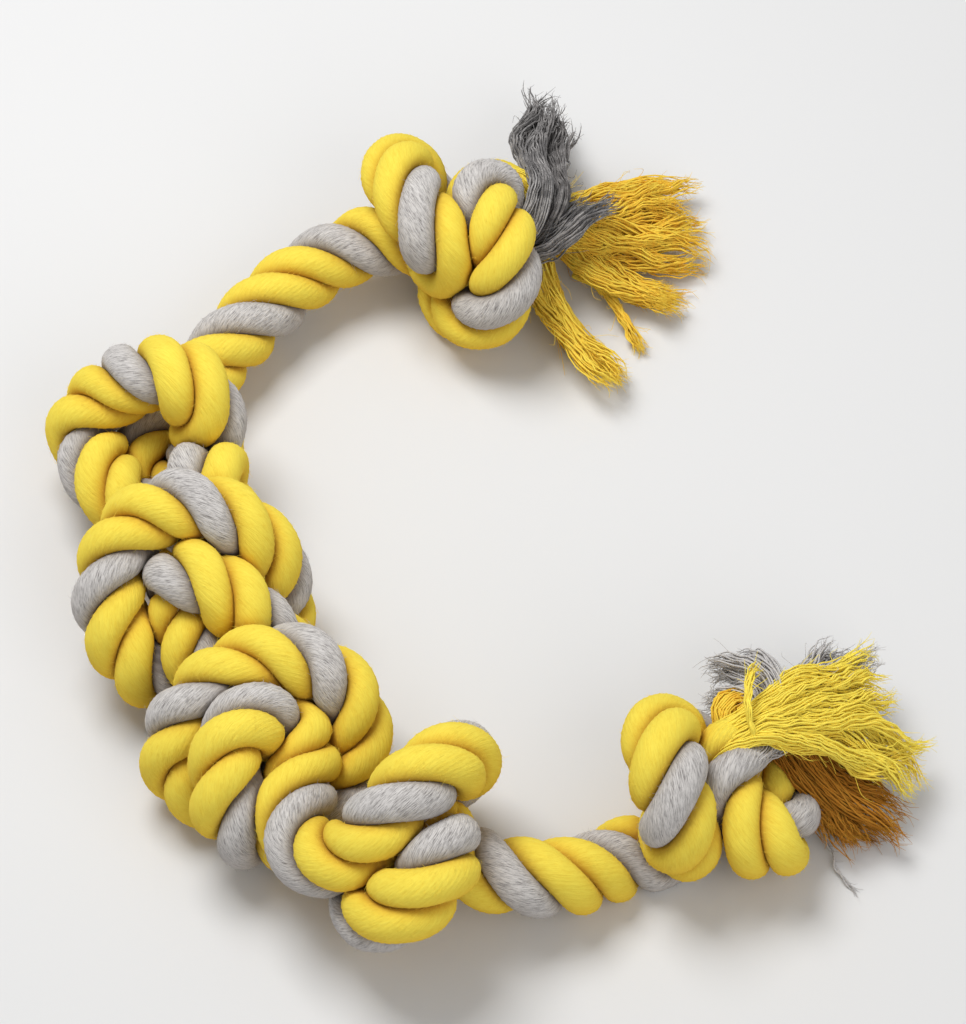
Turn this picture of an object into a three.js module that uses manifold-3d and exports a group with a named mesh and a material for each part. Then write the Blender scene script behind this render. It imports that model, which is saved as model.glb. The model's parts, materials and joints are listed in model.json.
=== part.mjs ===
// Rope toy for a large dog: one three-strand cotton rope, two yellow strands and one grey,
// tied in six overhand knots, with both ends unlaid into tassels. It lies in a C on the floor.
// Millimetres, +Z up. +X runs from the closed side of the C to its open side, and the first
// end knot is on the +Y side. The origin is the middle of the footprint, on the floor.
//
// The rope's route through the six knots is drawn tight, and the three strands are wound along
// it and settle against each other, as the strands of a real rope do when its knots are pulled.

import * as THREE from 'three';
import { mergeVertices } from 'three/addons/utils/BufferGeometryUtils.js';
import Module from 'manifold-3d';

// Rope and strands
const ropeDiameter = 38;
const layLength = 76;
const strandCircleRadius = 11.2;
const strandDiameter = 19;
const strandGap = 1.6;
const lengthGap = 0.3;
const floorCutShare = 0.1;
const leastFloorCut = 0.7;

// Facets
const strandSides = 7;
const stepsPerLay = 8;
const hankSides = 8;
const hankRings = 13;
const routeSpanPointCount = 12;

// Drawing tight. A rope in a pulled knot is packed to a share of its width, and a strand too.
const packedRopeShare = 0.86;
const packedStrandShare = 0.92;
const routeStepShare = 0.21;
const otherPassShare = 1.72;
const nearPairShare = 1.35;
const routeRoundCount = 260;
const strandRoundCount = 60;
const routeFairingShare = 0.3;
const routeStiffnessShare = 0.5;
const strandFairingShare = 0.25;
const strandStiffnessShare = 0.3;
const pairRefreshCount = 8;
const smoothingCount = 4;
const reachHalvingCount = 12;
const drawInCount = 12;
const drawInShare = 0.95;

// The knots in order along the rope, with the rope's route through each of them in rope
// diameters. phase is the angle in degrees of the grey strand round the rope at the knot's
// middle.
const knots = [
  { name: 'end_knot_1', phase: 214, routeShares: [
    [-0.99, 4.75, 1.52], [-0.37, 4.58, 1.59], [0.03, 3.88, 1.8], [0.22, 3.05, 1.76],
    [0.29, 2.61, 1.49], [0.25, 2.29, 0.92], [-0.07, 2.29, 0.4], [-0.33, 2.99, 0.4],
    [-0.22, 3.76, 0.5], [-0.28, 4.21, 0.5], [-0.64, 4.58, 0.44], [-1.04, 5.09, 0.6],
    [-1.24, 5.5, 1.13], [-1.36, 5.53, 1.71], [-1.43, 5.2, 2.19], [-1.28, 4.68, 2.21],
    [-1.06, 4.06, 2.02], [-0.83, 3.74, 1.81], [-0.5, 3.65, 1.34], [-0.12, 3.66, 0.8],
    [0.3, 3.72, 0.48],
  ] },
  { name: 'knot_2', phase: 250, routeShares: [
    [-5.11, -0.5, 0.77], [-4.82, -0.22, 0.78], [-4.47, -0.04, 0.91], [-4.03, 0.05, 1.16],
    [-3.72, 0.13, 1.64], [-3.68, 0.38, 2.35], [-3.91, 0.72, 2.89], [-4.15, 0.93, 2.97],
    [-4.46, 0.94, 2.55], [-4.92, 0.85, 1.85], [-5.41, 0.91, 1.23], [-5.88, 1.21, 0.94],
    [-6.12, 0.95, 0.87], [-5.99, 0.41, 0.88], [-5.25, -0.02, 1.2], [-4.44, -0.38, 1.33],
    [-4.17, -0.68, 0.87], [-4.14, -0.9, 0.56], [-4.07, -0.94, 1.08], [-3.94, -0.68, 1.79],
    [-3.78, -0.19, 2.32],
  ] },
  { name: 'knot_3', phase: 60, routeShares: [
    [-3.28, -3.38, 0.77], [-3.91, -3.33, 0.82], [-4.55, -3.33, 1.18], [-4.99, -3.04, 1.53],
    [-5.45, -2.43, 1.73], [-5.74, -1.87, 1.93], [-5.48, -1.29, 2], [-4.76, -0.99, 2.35],
    [-4.06, -0.98, 2.46], [-3.56, -1.16, 2.1], [-3.16, -1.48, 1.66], [-3.2, -1.79, 1.1],
    [-3.36, -2.05, 0.5], [-3.04, -2.27, 0.58], [-2.89, -2.7, 0.57], [-3.15, -3.29, 0.66],
    [-3.47, -3.42, 1.2], [-3.68, -3.02, 1.68], [-3.81, -2.43, 1.94], [-4, -1.87, 2.04],
    [-4.33, -1.41, 2.05],
  ] },
  { name: 'knot_4', phase: 9, routeShares: [
    [-2.91, -5.55, 0.81], [-3.23, -5.11, 0.56], [-3.6, -4.63, 0.52], [-3.79, -4.12, 0.91],
    [-3.66, -3.62, 1.51], [-3.12, -3.18, 2.01], [-2.37, -3.03, 2.24], [-2.04, -3.32, 1.95],
    [-2, -3.77, 1.53], [-1.97, -4.42, 1.07], [-1.95, -5.2, 0.82], [-2.26, -5.58, 0.6],
    [-3, -5.75, 0.67], [-3.36, -5.95, 0.92], [-3.63, -5.91, 1.38], [-3.92, -5.54, 1.83],
    [-3.62, -5.05, 1.87], [-3.22, -4.5, 2.01], [-3.03, -4.1, 2.12], [-2.9, -3.74, 1.93],
    [-2.87, -3.32, 1.53],
  ] },
  { name: 'knot_5', phase: 316, routeShares: [
    [-1.27, -7.19, 2.18], [-1.32, -6.75, 2.44], [-0.77, -6.34, 2.5], [-0.13, -5.89, 2.44],
    [-0.32, -5.22, 2.07], [-0.5, -4.84, 1.2], [-0.34, -4.72, 0.6], [-0.21, -4.53, 0.6],
    [-0.61, -4.5, 0.54], [-1.09, -4.72, 0.47], [-1.51, -5.37, 0.47], [-1.74, -6.25, 0.7],
    [-1.77, -6.91, 0.86], [-1.64, -7.32, 1.55], [-1.35, -7.34, 2.36], [-0.99, -6.94, 2.53],
    [-0.55, -6.51, 2.45], [-0.32, -6.12, 2.26], [-0.46, -5.73, 1.92], [-0.79, -5.32, 1.67],
    [-1.21, -4.92, 1.48],
  ] },
  { name: 'end_knot_6', phase: 307, routeShares: [
    [3.47, -5.2, 0.51], [3.11, -5.33, 0.55], [2.98, -5.51, 0.65], [2.77, -5.75, 0.94],
    [2.7, -5.7, 1.89], [2.62, -5.55, 2.54], [2.4, -5.05, 2.64], [2.31, -4.31, 2.09],
    [2.12, -4.16, 1.44], [2.2, -4.5, 1.1], [2.8, -4.65, 1.09], [3.86, -4.79, 1.15],
    [4.43, -5.07, 1.05], [4.37, -5.21, 0.93], [4.35, -5.6, 0.8], [4.21, -6.01, 0.73],
    [3.68, -6.09, 0.8], [3.14, -5.93, 0.92], [2.98, -5.68, 1.01], [2.89, -5.4, 1.04],
    [2.51, -5.26, 1.25],
  ] },
];

// Where the bare rope runs between two knots, in rope diameters, by the knot before it
const bareRouteShares = {
  end_knot_1: [[-2.58, 4.3, 0.83]],
  knot_4: [[-2.79, -6.1, 1.02]],
  knot_5: [[-0.11, -6.56, 1.62], [1.59, -6.25, 0.78]],
};
const routeStartShares = [[1.25, 4.02, 0.53]];
const routeEndShares = [[5.4, -3.14, 1.39]];

// The strands, in order round the rope
const strands = [
  { name: 'grey_strand', colour: 0xb4b1b6 },
  { name: 'yellow_strand_a', colour: 0xe6c81e },
  { name: 'yellow_strand_b', colour: 0xe0bf1a },
];

// The tassels: each strand's end parts into two hanks of yarn. A hank's route is in rope
// diameters, and so are its half-width and half-thickness at its root, its middle and its tip.
const tailShare = 0.5;
const hankRootShare = 0.25;
const hankClearShare = 0.16;
const hankApartShare = 0.34;
const hankRoundCount = 30;
const hankWidthShares = [0.2, 0.36, 0.44];
const hankThicknessShares = [0.19, 0.22, 0.24];
const hanks = [
  { name: 'tassel_1_grey_hank_back', end: 0, strand: 0, side: -1,
    routeShares: [[0.69, 3.87, 1.11], [1.07, 3.99, 1.58], [0.75, 4.83, 1.63], [0.71, 6.17, 0.95],
      [1.12, 7.06, 0.58]] },
  { name: 'tassel_1_grey_hank_side', end: 0, strand: 0, side: 1,
    routeShares: [[0.61, 4.09, 0.79], [1.14, 4.34, 1.05], [1.84, 4.87, 0.68]] },
  { name: 'tassel_1_yellow_hank_outer', end: 0, strand: 1, side: -1,
    routeShares: [[1.23, 4.56, 1.05], [1.94, 5.06, 0.63], [2.67, 5.36, 0.37], [3.31, 5.29, 0.29]] },
  { name: 'tassel_1_yellow_hank_middle', end: 0, strand: 1, side: 1,
    routeShares: [[1.29, 4.24, 0.89], [1.96, 4.43, 0.42], [2.66, 4.53, 0.32], [3.38, 4.47, 0.26]] },
  { name: 'tassel_1_yellow_hank_inner', end: 0, strand: 2, side: -1,
    routeShares: [[1.03, 4.17, 0.53], [1.66, 3.85, 0.32], [2.37, 3.63, 0.26], [3.08, 3.39, 0.24]] },
  { name: 'tassel_1_yellow_hank_front', end: 0, strand: 2, side: 1,
    routeShares: [[0.85, 4.07, 0.42], [0.77, 3.47, 0.26], [1.28, 2.62, 0.26], [2.13, 2, 0.24]] },
  { name: 'tassel_2_grey_hank_back', end: 1, strand: 0, side: -1,
    routeShares: [[3.91, -4.43, 1.74], [3.79, -3.91, 1.74], [3.46, -3.38, 1.37],
      [3.08, -3.46, 0.89]] },
  { name: 'tassel_2_grey_hank_side', end: 1, strand: 0, side: 1,
    routeShares: [[3.97, -4.47, 1.63], [4.28, -3.82, 1.42], [4.78, -3.17, 1], [5.35, -2.7, 0.63]] },
  { name: 'tassel_2_yellow_hank_top', end: 1, strand: 2, side: -1,
    routeShares: [[3.94, -4.33, 1.95], [4.48, -3.94, 1.63], [5.05, -3.51, 1.21],
      [5.67, -3.37, 0.79]] },
  { name: 'tassel_2_yellow_hank_arch', end: 1, strand: 2, side: 1,
    routeShares: [[3.99, -4.67, 2], [4.59, -4.47, 1.63], [5.29, -4.36, 1.11],
      [6.08, -4.52, 0.53]] },
  { name: 'tassel_2_yellow_hank_inner', end: 1, strand: 1, side: -1,
    routeShares: [[4.04, -4.64, 1.26], [4.57, -4.81, 0.89], [5.1, -4.98, 0.53],
      [5.71, -5.43, 0.26]] },
  { name: 'tassel_2_yellow_hank_low', end: 1, strand: 1, side: 1,
    routeShares: [[3.91, -4.7, 0.63], [4.13, -4.99, 0.42], [4.62, -5.31, 0.29],
      [5.22, -5.64, 0.25]] },
];

// Solids are cut and joined by manifold-3d
const wasm = await Module();
wasm.setup();

const strandRadius = strandDiameter / 2;
const routeStep = routeStepShare * ropeDiameter;
const strandFloor = strandRadius * (packedStrandShare - 2 * floorCutShare);
const otherStrandSteps = Math.round(2 * strandDiameter * stepsPerLay / layLength);
const routeFloor = strandCircleRadius * packedRopeShare + strandFloor;

function placed(shares) {
  return new THREE.Vector3(...shares).multiplyScalar(ropeDiameter);
}

// Length along a line of points up to each of them
function lengthsAlong(points) {
  const lengths = [0];
  for (let i = 1; i < points.length; i += 1) {
    lengths.push(lengths[i - 1] + points[i].distanceTo(points[i - 1]));
  }
  return lengths;
}

function evenlySpaced(points, step) {
  const lengths = lengthsAlong(points);
  const whole = lengths.at(-1);
  const count = Math.round(whole / step);
  const even = [];
  let span = 0;
  for (let i = 0; i <= count; i += 1) {
    const target = whole * i / count;
    while (span < points.length - 2 && lengths[span + 1] < target) span += 1;
    const share = (target - lengths[span]) / (lengths[span + 1] - lengths[span]);
    even.push(points[span].clone().lerp(points[span + 1], share));
  }
  return even;
}

// A value between chosen places along a line, and level beyond the first and last
function between(places, values, at) {
  if (at <= places[0]) return values[0];
  for (let i = 1; i < places.length; i += 1) {
    if (at <= places[i]) {
      const share = (at - places[i - 1]) / (places[i] - places[i - 1]);
      return THREE.MathUtils.lerp(values[i - 1], values[i], share);
    }
  }
  return values.at(-1);
}

// Draws lines tight: passes push apart until they are two radii apart, neighbours keep their
// spacing, bends ease out, and nothing sinks below the floor
function settle(lines, radius, rounds, fairing, stiffness, skip, floor) {
  const points = lines.flat().map((p) => p.clone());
  const line = lines.flatMap((own, index) => own.map(() => index));
  const joined = points.slice(1).map((p, i) => line[i] === line[i + 1]);
  const spacing = points.slice(1).map((p, i) => p.distanceTo(points[i]));
  const moves = points.map(() => new THREE.Vector3());
  const counts = points.map(() => 0);
  const apart = new THREE.Vector3();
  let pairs = [];
  for (let round = 0; round < rounds; round += 1) {
    if (round % pairRefreshCount === 0) {
      pairs = [];
      for (let i = 0; i < points.length; i += 1) {
        for (let j = i + 1; j < points.length; j += 1) {
          if (line[i] === line[j] && j - i <= skip) continue;
          const reach = points[i].distanceTo(points[j]);
          if (reach < 2 * radius * nearPairShare) pairs.push([i, j]);
        }
      }
    }
    moves.forEach((move) => move.setScalar(0));
    counts.fill(0);
    for (const [i, j] of pairs) {
      apart.subVectors(points[j], points[i]);
      const length = apart.length();
      if (length >= 2 * radius) continue;
      apart.multiplyScalar((2 * radius - length) / (2 * length));
      moves[i].sub(apart);
      moves[j].add(apart);
      counts[i] += 1;
      counts[j] += 1;
    }
    points.forEach((p, i) => p.addScaledVector(moves[i], 1 / Math.max(counts[i], 1)));
    for (let pass = 0; pass < 2; pass += 1) {
      moves.forEach((move) => move.setScalar(0));
      for (let i = 0; i < joined.length; i += 1) {
        if (!joined[i]) continue;
        apart.subVectors(points[i + 1], points[i]);
        const length = apart.length();
        apart.multiplyScalar(stiffness * (length - spacing[i]) / (2 * length));
        moves[i].add(apart);
        moves[i + 1].sub(apart);
      }
      points.forEach((p, i) => p.add(moves[i]));
    }
    for (let i = 1; i < points.length - 1; i += 1) {
      moves[i].setScalar(0);
      if (!joined[i - 1] || !joined[i]) continue;
      moves[i].addVectors(points[i - 1], points[i + 1]).multiplyScalar(1 / 2).sub(points[i]);
    }
    for (let i = 1; i < points.length - 1; i += 1) points[i].addScaledVector(moves[i], fairing);
    points.forEach((p) => { p.z = Math.max(p.z, floor); });
  }
  let start = 0;
  return lines.map((own) => {
    start += own.length;
    return points.slice(start - own.length, start);
  });
}

// A frame turned as little as it takes to run along a direction
function turnedAlong({ across }, along) {
  const square = across.clone().addScaledVector(along, -across.dot(along)).normalize();
  return { along, across: square, third: new THREE.Vector3().crossVectors(along, square) };
}

// A frame at each point of a line that turns no more than the line does
function framesAlong(points) {
  let last = { across: new THREE.Vector3(0, 0, 1) };
  return points.map((p, i) => {
    const before = points[Math.max(i - 1, 0)];
    const after = points[Math.min(i + 1, points.length - 1)];
    last = turnedAlong(last, new THREE.Vector3().subVectors(after, before).normalize());
    return last;
  });
}

// Sets each knot down on the floor. What runs between two knots follows both.
function setDown(lines, ends, middles, floor) {
  const drops = ends.map(({ first, last }) => {
    const heights = lines.flatMap((line) => line.slice(first, last + 1).map((p) => p.z));
    return floor - Math.min(...heights);
  });
  lines.forEach((line) => line.forEach((p, i) => {
    p.z = Math.max(p.z + between(middles, drops, i), floor);
  }));
}

// The whole rope's centre line, drawn tight, with where each knot begins and ends on it
function ropeRoute() {
  const controls = routeStartShares.map(placed);
  const spans = [];
  knots.forEach((knot) => {
    const route = knot.routeShares.map(placed);
    const first = controls.length;
    controls.push(...route);
    spans.push({ first, last: controls.length - 1 });
    (bareRouteShares[knot.name] ?? []).forEach((shares) => controls.push(placed(shares)));
  });
  controls.push(...routeEndShares.map(placed));
  const curve = new THREE.CatmullRomCurve3(controls, false, 'catmullrom', 1 / 2);
  const fine = curve.getPoints(routeSpanPointCount * (controls.length - 1));
  const lengths = lengthsAlong(fine);
  const loose = evenlySpaced(fine, routeStep);
  const skip = Math.floor(otherPassShare / routeStepShare);
  const [tight] = settle([loose], packedRopeShare * ropeDiameter / 2, routeRoundCount,
    routeFairingShare, routeStiffnessShare, skip, routeFloor);
  const indexOf = (control) => Math.round((tight.length - 1)
    * lengths[control * routeSpanPointCount] / lengths.at(-1));
  const ends = spans.map(({ first, last }) => ({ first: indexOf(first), last: indexOf(last) }));
  const middles = ends.map(({ first, last }) => (first + last) / 2);

  setDown([tight], ends, middles, routeFloor);
  const tightLengths = lengthsAlong(tight);
  const even = evenlySpaced(tight, layLength / stepsPerLay);
  const evenPlace = (index) => Math.round((even.length - 1)
    * tightLengths[Math.round(index)] / tightLengths.at(-1));

  return {
    centre: even,
    ends: ends.map(({ first, last }) => ({ first: evenPlace(first), last: evenPlace(last) })),
    middles: middles.map(evenPlace),
  };
}

// The three strands wound along the centre line. Where other passes press on the rope, its
// strands wind closer together. Between two knots the lay is eased or tightened by no more than
// half a turn, so that each knot has its strands at their own phase.
function strandRoutes({ centre, ends, middles }) {
  const skip = Math.round(otherPassShare * ropeDiameter * stepsPerLay / layLength);
  const pressed = centre.map((p, i) => {
    const others = centre.filter((q, j) => Math.abs(i - j) > skip);
    const nearest = Math.min(...others.map((q) => q.distanceTo(p)));
    return THREE.MathUtils.clamp(nearest / ropeDiameter, packedRopeShare, 1);
  });
  const frames = framesAlong(centre);
  const lengths = lengthsAlong(centre);
  const laid = lengths.map((length) => 2 * Math.PI * length / layLength);
  let twist = 0;
  const twists = knots.map((knot, k) => {
    const short = THREE.MathUtils.degToRad(knot.phase) - laid[middles[k]];
    twist = short - 2 * Math.PI * Math.round((short - twist) / (2 * Math.PI));
    return twist;
  });
  const wound = strands.map((strand, number) => centre.map((p, i) => {
    let squeeze = 0;
    for (let k = i - smoothingCount; k <= i + smoothingCount; k += 1) {
      squeeze += pressed[THREE.MathUtils.clamp(k, 0, centre.length - 1)];
    }
    const radius = strandCircleRadius * squeeze / (2 * smoothingCount + 1);
    const angle = laid[i] + 2 * Math.PI * number / strands.length + between(middles, twists, i);
    return p.clone().addScaledVector(frames[i].across, radius * Math.cos(angle))
      .addScaledVector(frames[i].third, radius * Math.sin(angle));
  }));
  const settled = settle(wound, packedStrandShare * strandRadius, strandRoundCount,
    strandFairingShare, strandStiffnessShare, otherStrandSteps, strandFloor);
  setDown(settled, ends, middles, strandFloor);
  return settled;
}

// A line's straight pieces, with their lengths squared
function piecesOf(route) {
  return route.slice(1).map((end, i) => {
    const along = new THREE.Vector3().subVectors(end, route[i]);
    return { start: route[i], along, square: along.dot(along) };
  });
}

function distanceTo(straight, x, y, z) {
  const { start, along, square } = straight;
  const dx = x - start.x;
  const dy = y - start.y;
  const dz = z - start.z;
  const share = (dx * along.x + dy * along.y + dz * along.z) / square;
  const s = THREE.MathUtils.clamp(share, 0, 1);
  return Math.hypot(dx - s * along.x, dy - s * along.y, dz - s * along.z);
}

// Whether steps j to k of line n are another pass to step i of line m. A hank is no other pass to
// the end of the strand that it grows from.
function passes(lines, m, i, n, j, k) {
  if (m === n && Math.abs(i - j) <= otherStrandSteps) return false;
  if (lines[n].root === m && lines[n].rootSteps.includes(i)) return false;
  if (lines[m].root === n && [j, k].every((step) => lines[m].rootSteps.includes(step))) return false;
  return true;
}

function passesNear(lines, straights, m, i, reach) {
  const { x, y, z } = lines[m].points[i];
  return straights.flatMap((own, n) => own.filter((straight, j) => passes(lines, m, i, n, j, j + 1)
    && distanceTo(straight, x, y, z) < reach));
}

// How far each side of each line reaches from its centre. A free side reaches its own limit. A
// side that is pressed stops halfway to the pass that presses it, less half the gap, so that
// strands flatten against each other as packed cotton does.
function pressedReaches(lines) {
  const straights = lines.map(({ points }) => piecesOf(points));
  const near = lines.map(({ points, limits }, m) => points.map((p, i) => passesNear(lines,
    straights, m, i, 2 * Math.max(...limits[i]) + strandGap + layLength / stepsPerLay)));
  const room = (others, p) => Math.min(...others.map((s) => distanceTo(s, p.x, p.y, p.z)));
  const reaches = lines.map(({ points, frames, limits }, m) => points.map((p, i) => {
    const directions = ring(new THREE.Vector3(), frames[i], limits[i].map(() => 1));
    return limits[i].map((limit, k) => {
      const clear = (r) => room(near[m][i], p.clone().addScaledVector(directions[k], r))
        >= r + strandGap;
      if (clear(limit)) return limit;
      let [low, high] = [0, limit];
      for (let halving = 0; halving < reachHalvingCount; halving += 1) {
        const middle = (low + high) / 2;
        if (clear(middle)) low = middle;
        else high = middle;
      }
      return low;
    });
  }));

  // Between two rings a facet is flat, and is drawn in where that would close the gap
  for (let round = 0; round < drawInCount; round += 1) {
    lines.forEach(({ points, frames }, m) => {
      for (let i = 0; i < points.length - 1; i += 1) {
        const others = [...near[m][i], ...near[m][i + 1]];
        const rings = [i, i + 1].map((at) => ring(points[at], frames[at], reaches[m][at]));
        rings[0].forEach((corner, k) => {
          const next = (k + 1) % rings[0].length;
          for (const [at, side] of [[0, next], [1, k], [1, next]]) {
            const middle = corner.clone().add(rings[at][side]).divideScalar(2);
            const own = distanceTo(straights[m][i], middle.x, middle.y, middle.z);
            if (room(others, middle) >= own + strandGap / 2) continue;
            reaches[m][i][k] *= drawInShare;
            reaches[m][i + at][side] *= drawInShare;
          }
        });
      }
    });
  }
  return reaches;
}

// The least distance between the skins of two passes, measured on the rings' points
function leastGap(lines, reaches) {
  const rings = lines.map(({ points, frames }, m) => points.map((p, i) => ring(p, frames[i],
    reaches[m][i])));
  let least = Infinity;
  lines.forEach((first, m) => first.points.forEach((p, i) => {
    for (let n = m; n < lines.length; n += 1) {
      lines[n].points.forEach((q, j) => {
        if (p.distanceTo(q) > 2 * strandDiameter || !passes(lines, m, i, n, j, j)) return;
        for (const corner of rings[m][i]) {
          for (const other of rings[n][j]) least = Math.min(least, corner.distanceTo(other));
        }
      });
    }
  }));
  return least;
}

// Moves the hanks' lines off the strands and off each other, and smooths them. Their roots stay.
function laidClear(hankPoints, strandPoints) {
  const floor = hankThicknessShares[0] * ropeDiameter / 2;
  const apart = new THREE.Vector3();
  const moveOff = (p, others, clearance) => others.forEach((q) => {
    apart.subVectors(p, q);
    const length = apart.length();
    if (length < clearance) p.addScaledVector(apart, (clearance - length) / (2 * length));
  });
  for (let round = 0; round < hankRoundCount; round += 1) {
    hankPoints.forEach((points, hank) => {
      const others = hankPoints.filter((own, other) => other !== hank).flat();
      for (let i = 2; i < points.length; i += 1) {
        moveOff(points[i], strandPoints[hank], strandRadius + hankClearShare * ropeDiameter);
        moveOff(points[i], others, hankApartShare * ropeDiameter);
        points[i].z = Math.max(points[i].z, floor);
      }
      for (let i = 2; i < points.length - 1; i += 1) {
        const middle = points[i - 1].clone().add(points[i + 1]).divideScalar(2);
        points[i].lerp(middle, strandFairingShare);
      }
    });
  }
}

// The last steps of a strand before a hank grows from it
function rootStepsOf(hank, route) {
  return hank.end === 0 ? [0, 1] : [route.length - 2, route.length - 1];
}

// The way that a strand's end runs out of the rope
function strandEnd(hank, routes) {
  const route = hank.end === 0 ? [...routes[hank.strand]].reverse() : routes[hank.strand];
  const { along, third } = framesAlong(route.slice(-2)).at(-1);
  return { tip: route.at(-1), along, third };
}

// The middle lines of the hanks that the strands' ends part into
function hankRoutes(routes) {
  const hankPoints = hanks.map((hank) => {
    const { tip, along, third } = strandEnd(hank, routes);
    const start = tip.clone().addScaledVector(along, lengthGap)
      .addScaledVector(third, hank.side * strandRadius / 2);
    const controls = [start, start.clone().addScaledVector(along, hankRootShare * ropeDiameter)];
    controls.push(...hank.routeShares.map(placed));
    const curve = new THREE.CatmullRomCurve3(controls, false, 'centripetal');
    return curve.getSpacedPoints(hankRings - 1);
  });
  const strandPoints = hanks.map((hank) => routes.flatMap((own, number) => own.filter((q, i) =>
    number !== hank.strand || !rootStepsOf(hank, own).includes(i))));
  laidClear(hankPoints, strandPoints);
  return hankPoints;
}

// A hank of yarn as a line with frames and with how far each of its sides may reach
function hankLine(hank, points, routes) {
  const frames = framesAlong(points);
  frames[0] = turnedAlong(frames[0], strandEnd(hank, routes).along);
  const thirds = [0, 1 / 2, 1];
  const limits = points.map((p, i) => {
    const share = i / (hankRings - 1);
    const wide = between(thirds, hankWidthShares, share) * ropeDiameter;
    const thick = between(thirds, hankThicknessShares, share) * ropeDiameter;
    return Array.from({ length: hankSides }, (side, k) => {
      const angle = 2 * Math.PI * k / hankSides;
      return wide * thick / Math.hypot(wide * Math.cos(angle), thick * Math.sin(angle));
    });
  });
  const rootSteps = rootStepsOf(hank, routes[hank.strand]);
  return { points, frames, limits, root: hank.strand, rootSteps };
}

// A closed skin over rings of points, each ring turning from across towards third
function loft(rings) {
  const sides = rings[0].length;
  const position = rings.flat().flatMap((p) => [p.x, p.y, p.z]);
  const index = [];
  for (let i = 0; i < rings.length - 1; i += 1) {
    for (let k = 0; k < sides; k += 1) {
      const next = (k + 1) % sides;
      const a = i * sides;
      const b = a + sides;
      index.push(a + k, a + next, b + next, a + k, b + next, b + k);
    }
  }
  const last = (rings.length - 1) * sides;
  for (let k = 1; k < sides - 1; k += 1) {
    index.push(0, k + 1, k, last, last + k, last + k + 1);
  }
  const geometry = new THREE.BufferGeometry();
  geometry.setAttribute('position', new THREE.Float32BufferAttribute(position, 3));
  geometry.setIndex(index);
  return geometry;
}

// A ring of points about a middle, with its reach on each side
function ring(middle, { across, third }, reaches) {
  return reaches.map((reach, k) => {
    const angle = 2 * Math.PI * k / reaches.length;
    return middle.clone().addScaledVector(across, reach * Math.cos(angle))
      .addScaledVector(third, reach * Math.sin(angle));
  });
}

function solid(geometry) {
  const bare = geometry.clone();
  bare.deleteAttribute('normal');
  bare.deleteAttribute('uv');
  const merged = mergeVertices(bare);
  return new wasm.Manifold(new wasm.Mesh({
    numProp: 3,
    vertProperties: new Float32Array(merged.attributes.position.array),
    triVerts: new Uint32Array(merged.index.array),
  }));
}

// What lies below the floor is cut off, which leaves flats for the toy to rest on
function restingOnFloor(geometry) {
  geometry.computeBoundingBox();
  const box = geometry.boundingBox;
  if (box.min.z > -leastFloorCut) {
    const position = geometry.getAttribute('position');
    for (let i = 0; i < position.count; i += 1) position.setZ(i, Math.max(position.getZ(i), 0));
    return geometry;
  }
  const width = box.max.x - box.min.x + 2 * ropeDiameter;
  const depth = box.max.y - box.min.y + 2 * ropeDiameter;
  const below = new THREE.BoxGeometry(width, depth, ropeDiameter);
  below.translate((box.min.x + box.max.x) / 2, (box.min.y + box.max.y) / 2, -ropeDiameter / 2);
  const mesh = solid(geometry).subtract(solid(below)).getMesh();
  const cut = new THREE.BufferGeometry();
  cut.setAttribute('position', new THREE.Float32BufferAttribute(mesh.vertProperties, 3));
  cut.setIndex(new THREE.Uint32BufferAttribute(mesh.triVerts, 1));
  return cut;
}

function piece(name, geometry, colour) {
  const finished = restingOnFloor(geometry);
  finished.computeVertexNormals();
  const material = new THREE.MeshStandardMaterial({ color: colour, roughness: 0.95, metalness: 0 });
  const mesh = new THREE.Mesh(finished, material);
  mesh.name = name;
  return mesh;
}

// One length of a line, with half a gap to the next at each end
function lengthOf({ points, frames }, reaches, from, to) {
  const rings = [];
  for (let i = from; i <= to; i += 1) {
    const middle = points[i].clone();
    if (i === from) middle.addScaledVector(frames[i].along, lengthGap / 2);
    if (i === to) middle.addScaledVector(frames[i].along, -lengthGap / 2);
    rings.push(ring(middle, frames[i], reaches[i]));
  }
  return loft(rings);
}

// Where each knot's lengths and each bare stretch's lengths begin and end
function sections({ centre, ends }) {
  const parts = [];
  let from = 0;
  let stretch = 0;
  knots.forEach((knot, i) => {
    const next = ends[i + 1];
    const bare = next && next.first - ends[i].last > stepsPerLay;
    if (!next) {
      parts.push({ name: knot.name, from, to: centre.length - 1 });
    } else if (bare) {
      stretch += 1;
      parts.push({ name: knot.name, from, to: ends[i].last });
      parts.push({ name: `bare_stretch_${stretch}`, from: ends[i].last, to: next.first });
      from = next.first;
    } else {
      const middle = Math.round((ends[i].last + next.first) / 2);
      parts.push({ name: knot.name, from, to: middle });
      from = middle;
    }
  });
  return parts;
}

// The rope is unlaid a short way out of each end knot
function unlaid(rope) {
  const strandRoutesWhole = strandRoutes(rope);
  const tail = Math.round(tailShare * ropeDiameter * stepsPerLay / layLength);
  const start = Math.max(rope.ends[0].first - tail, 0);
  const stop = rope.ends.at(-1).last + tail + 1;
  return {
    centre: rope.centre.slice(start, stop),
    ends: rope.ends.map(({ first, last }) => ({ first: first - start, last: last - start })),
    routes: strandRoutesWhole.map((route) => route.slice(start, stop)),
  };
}

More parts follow.
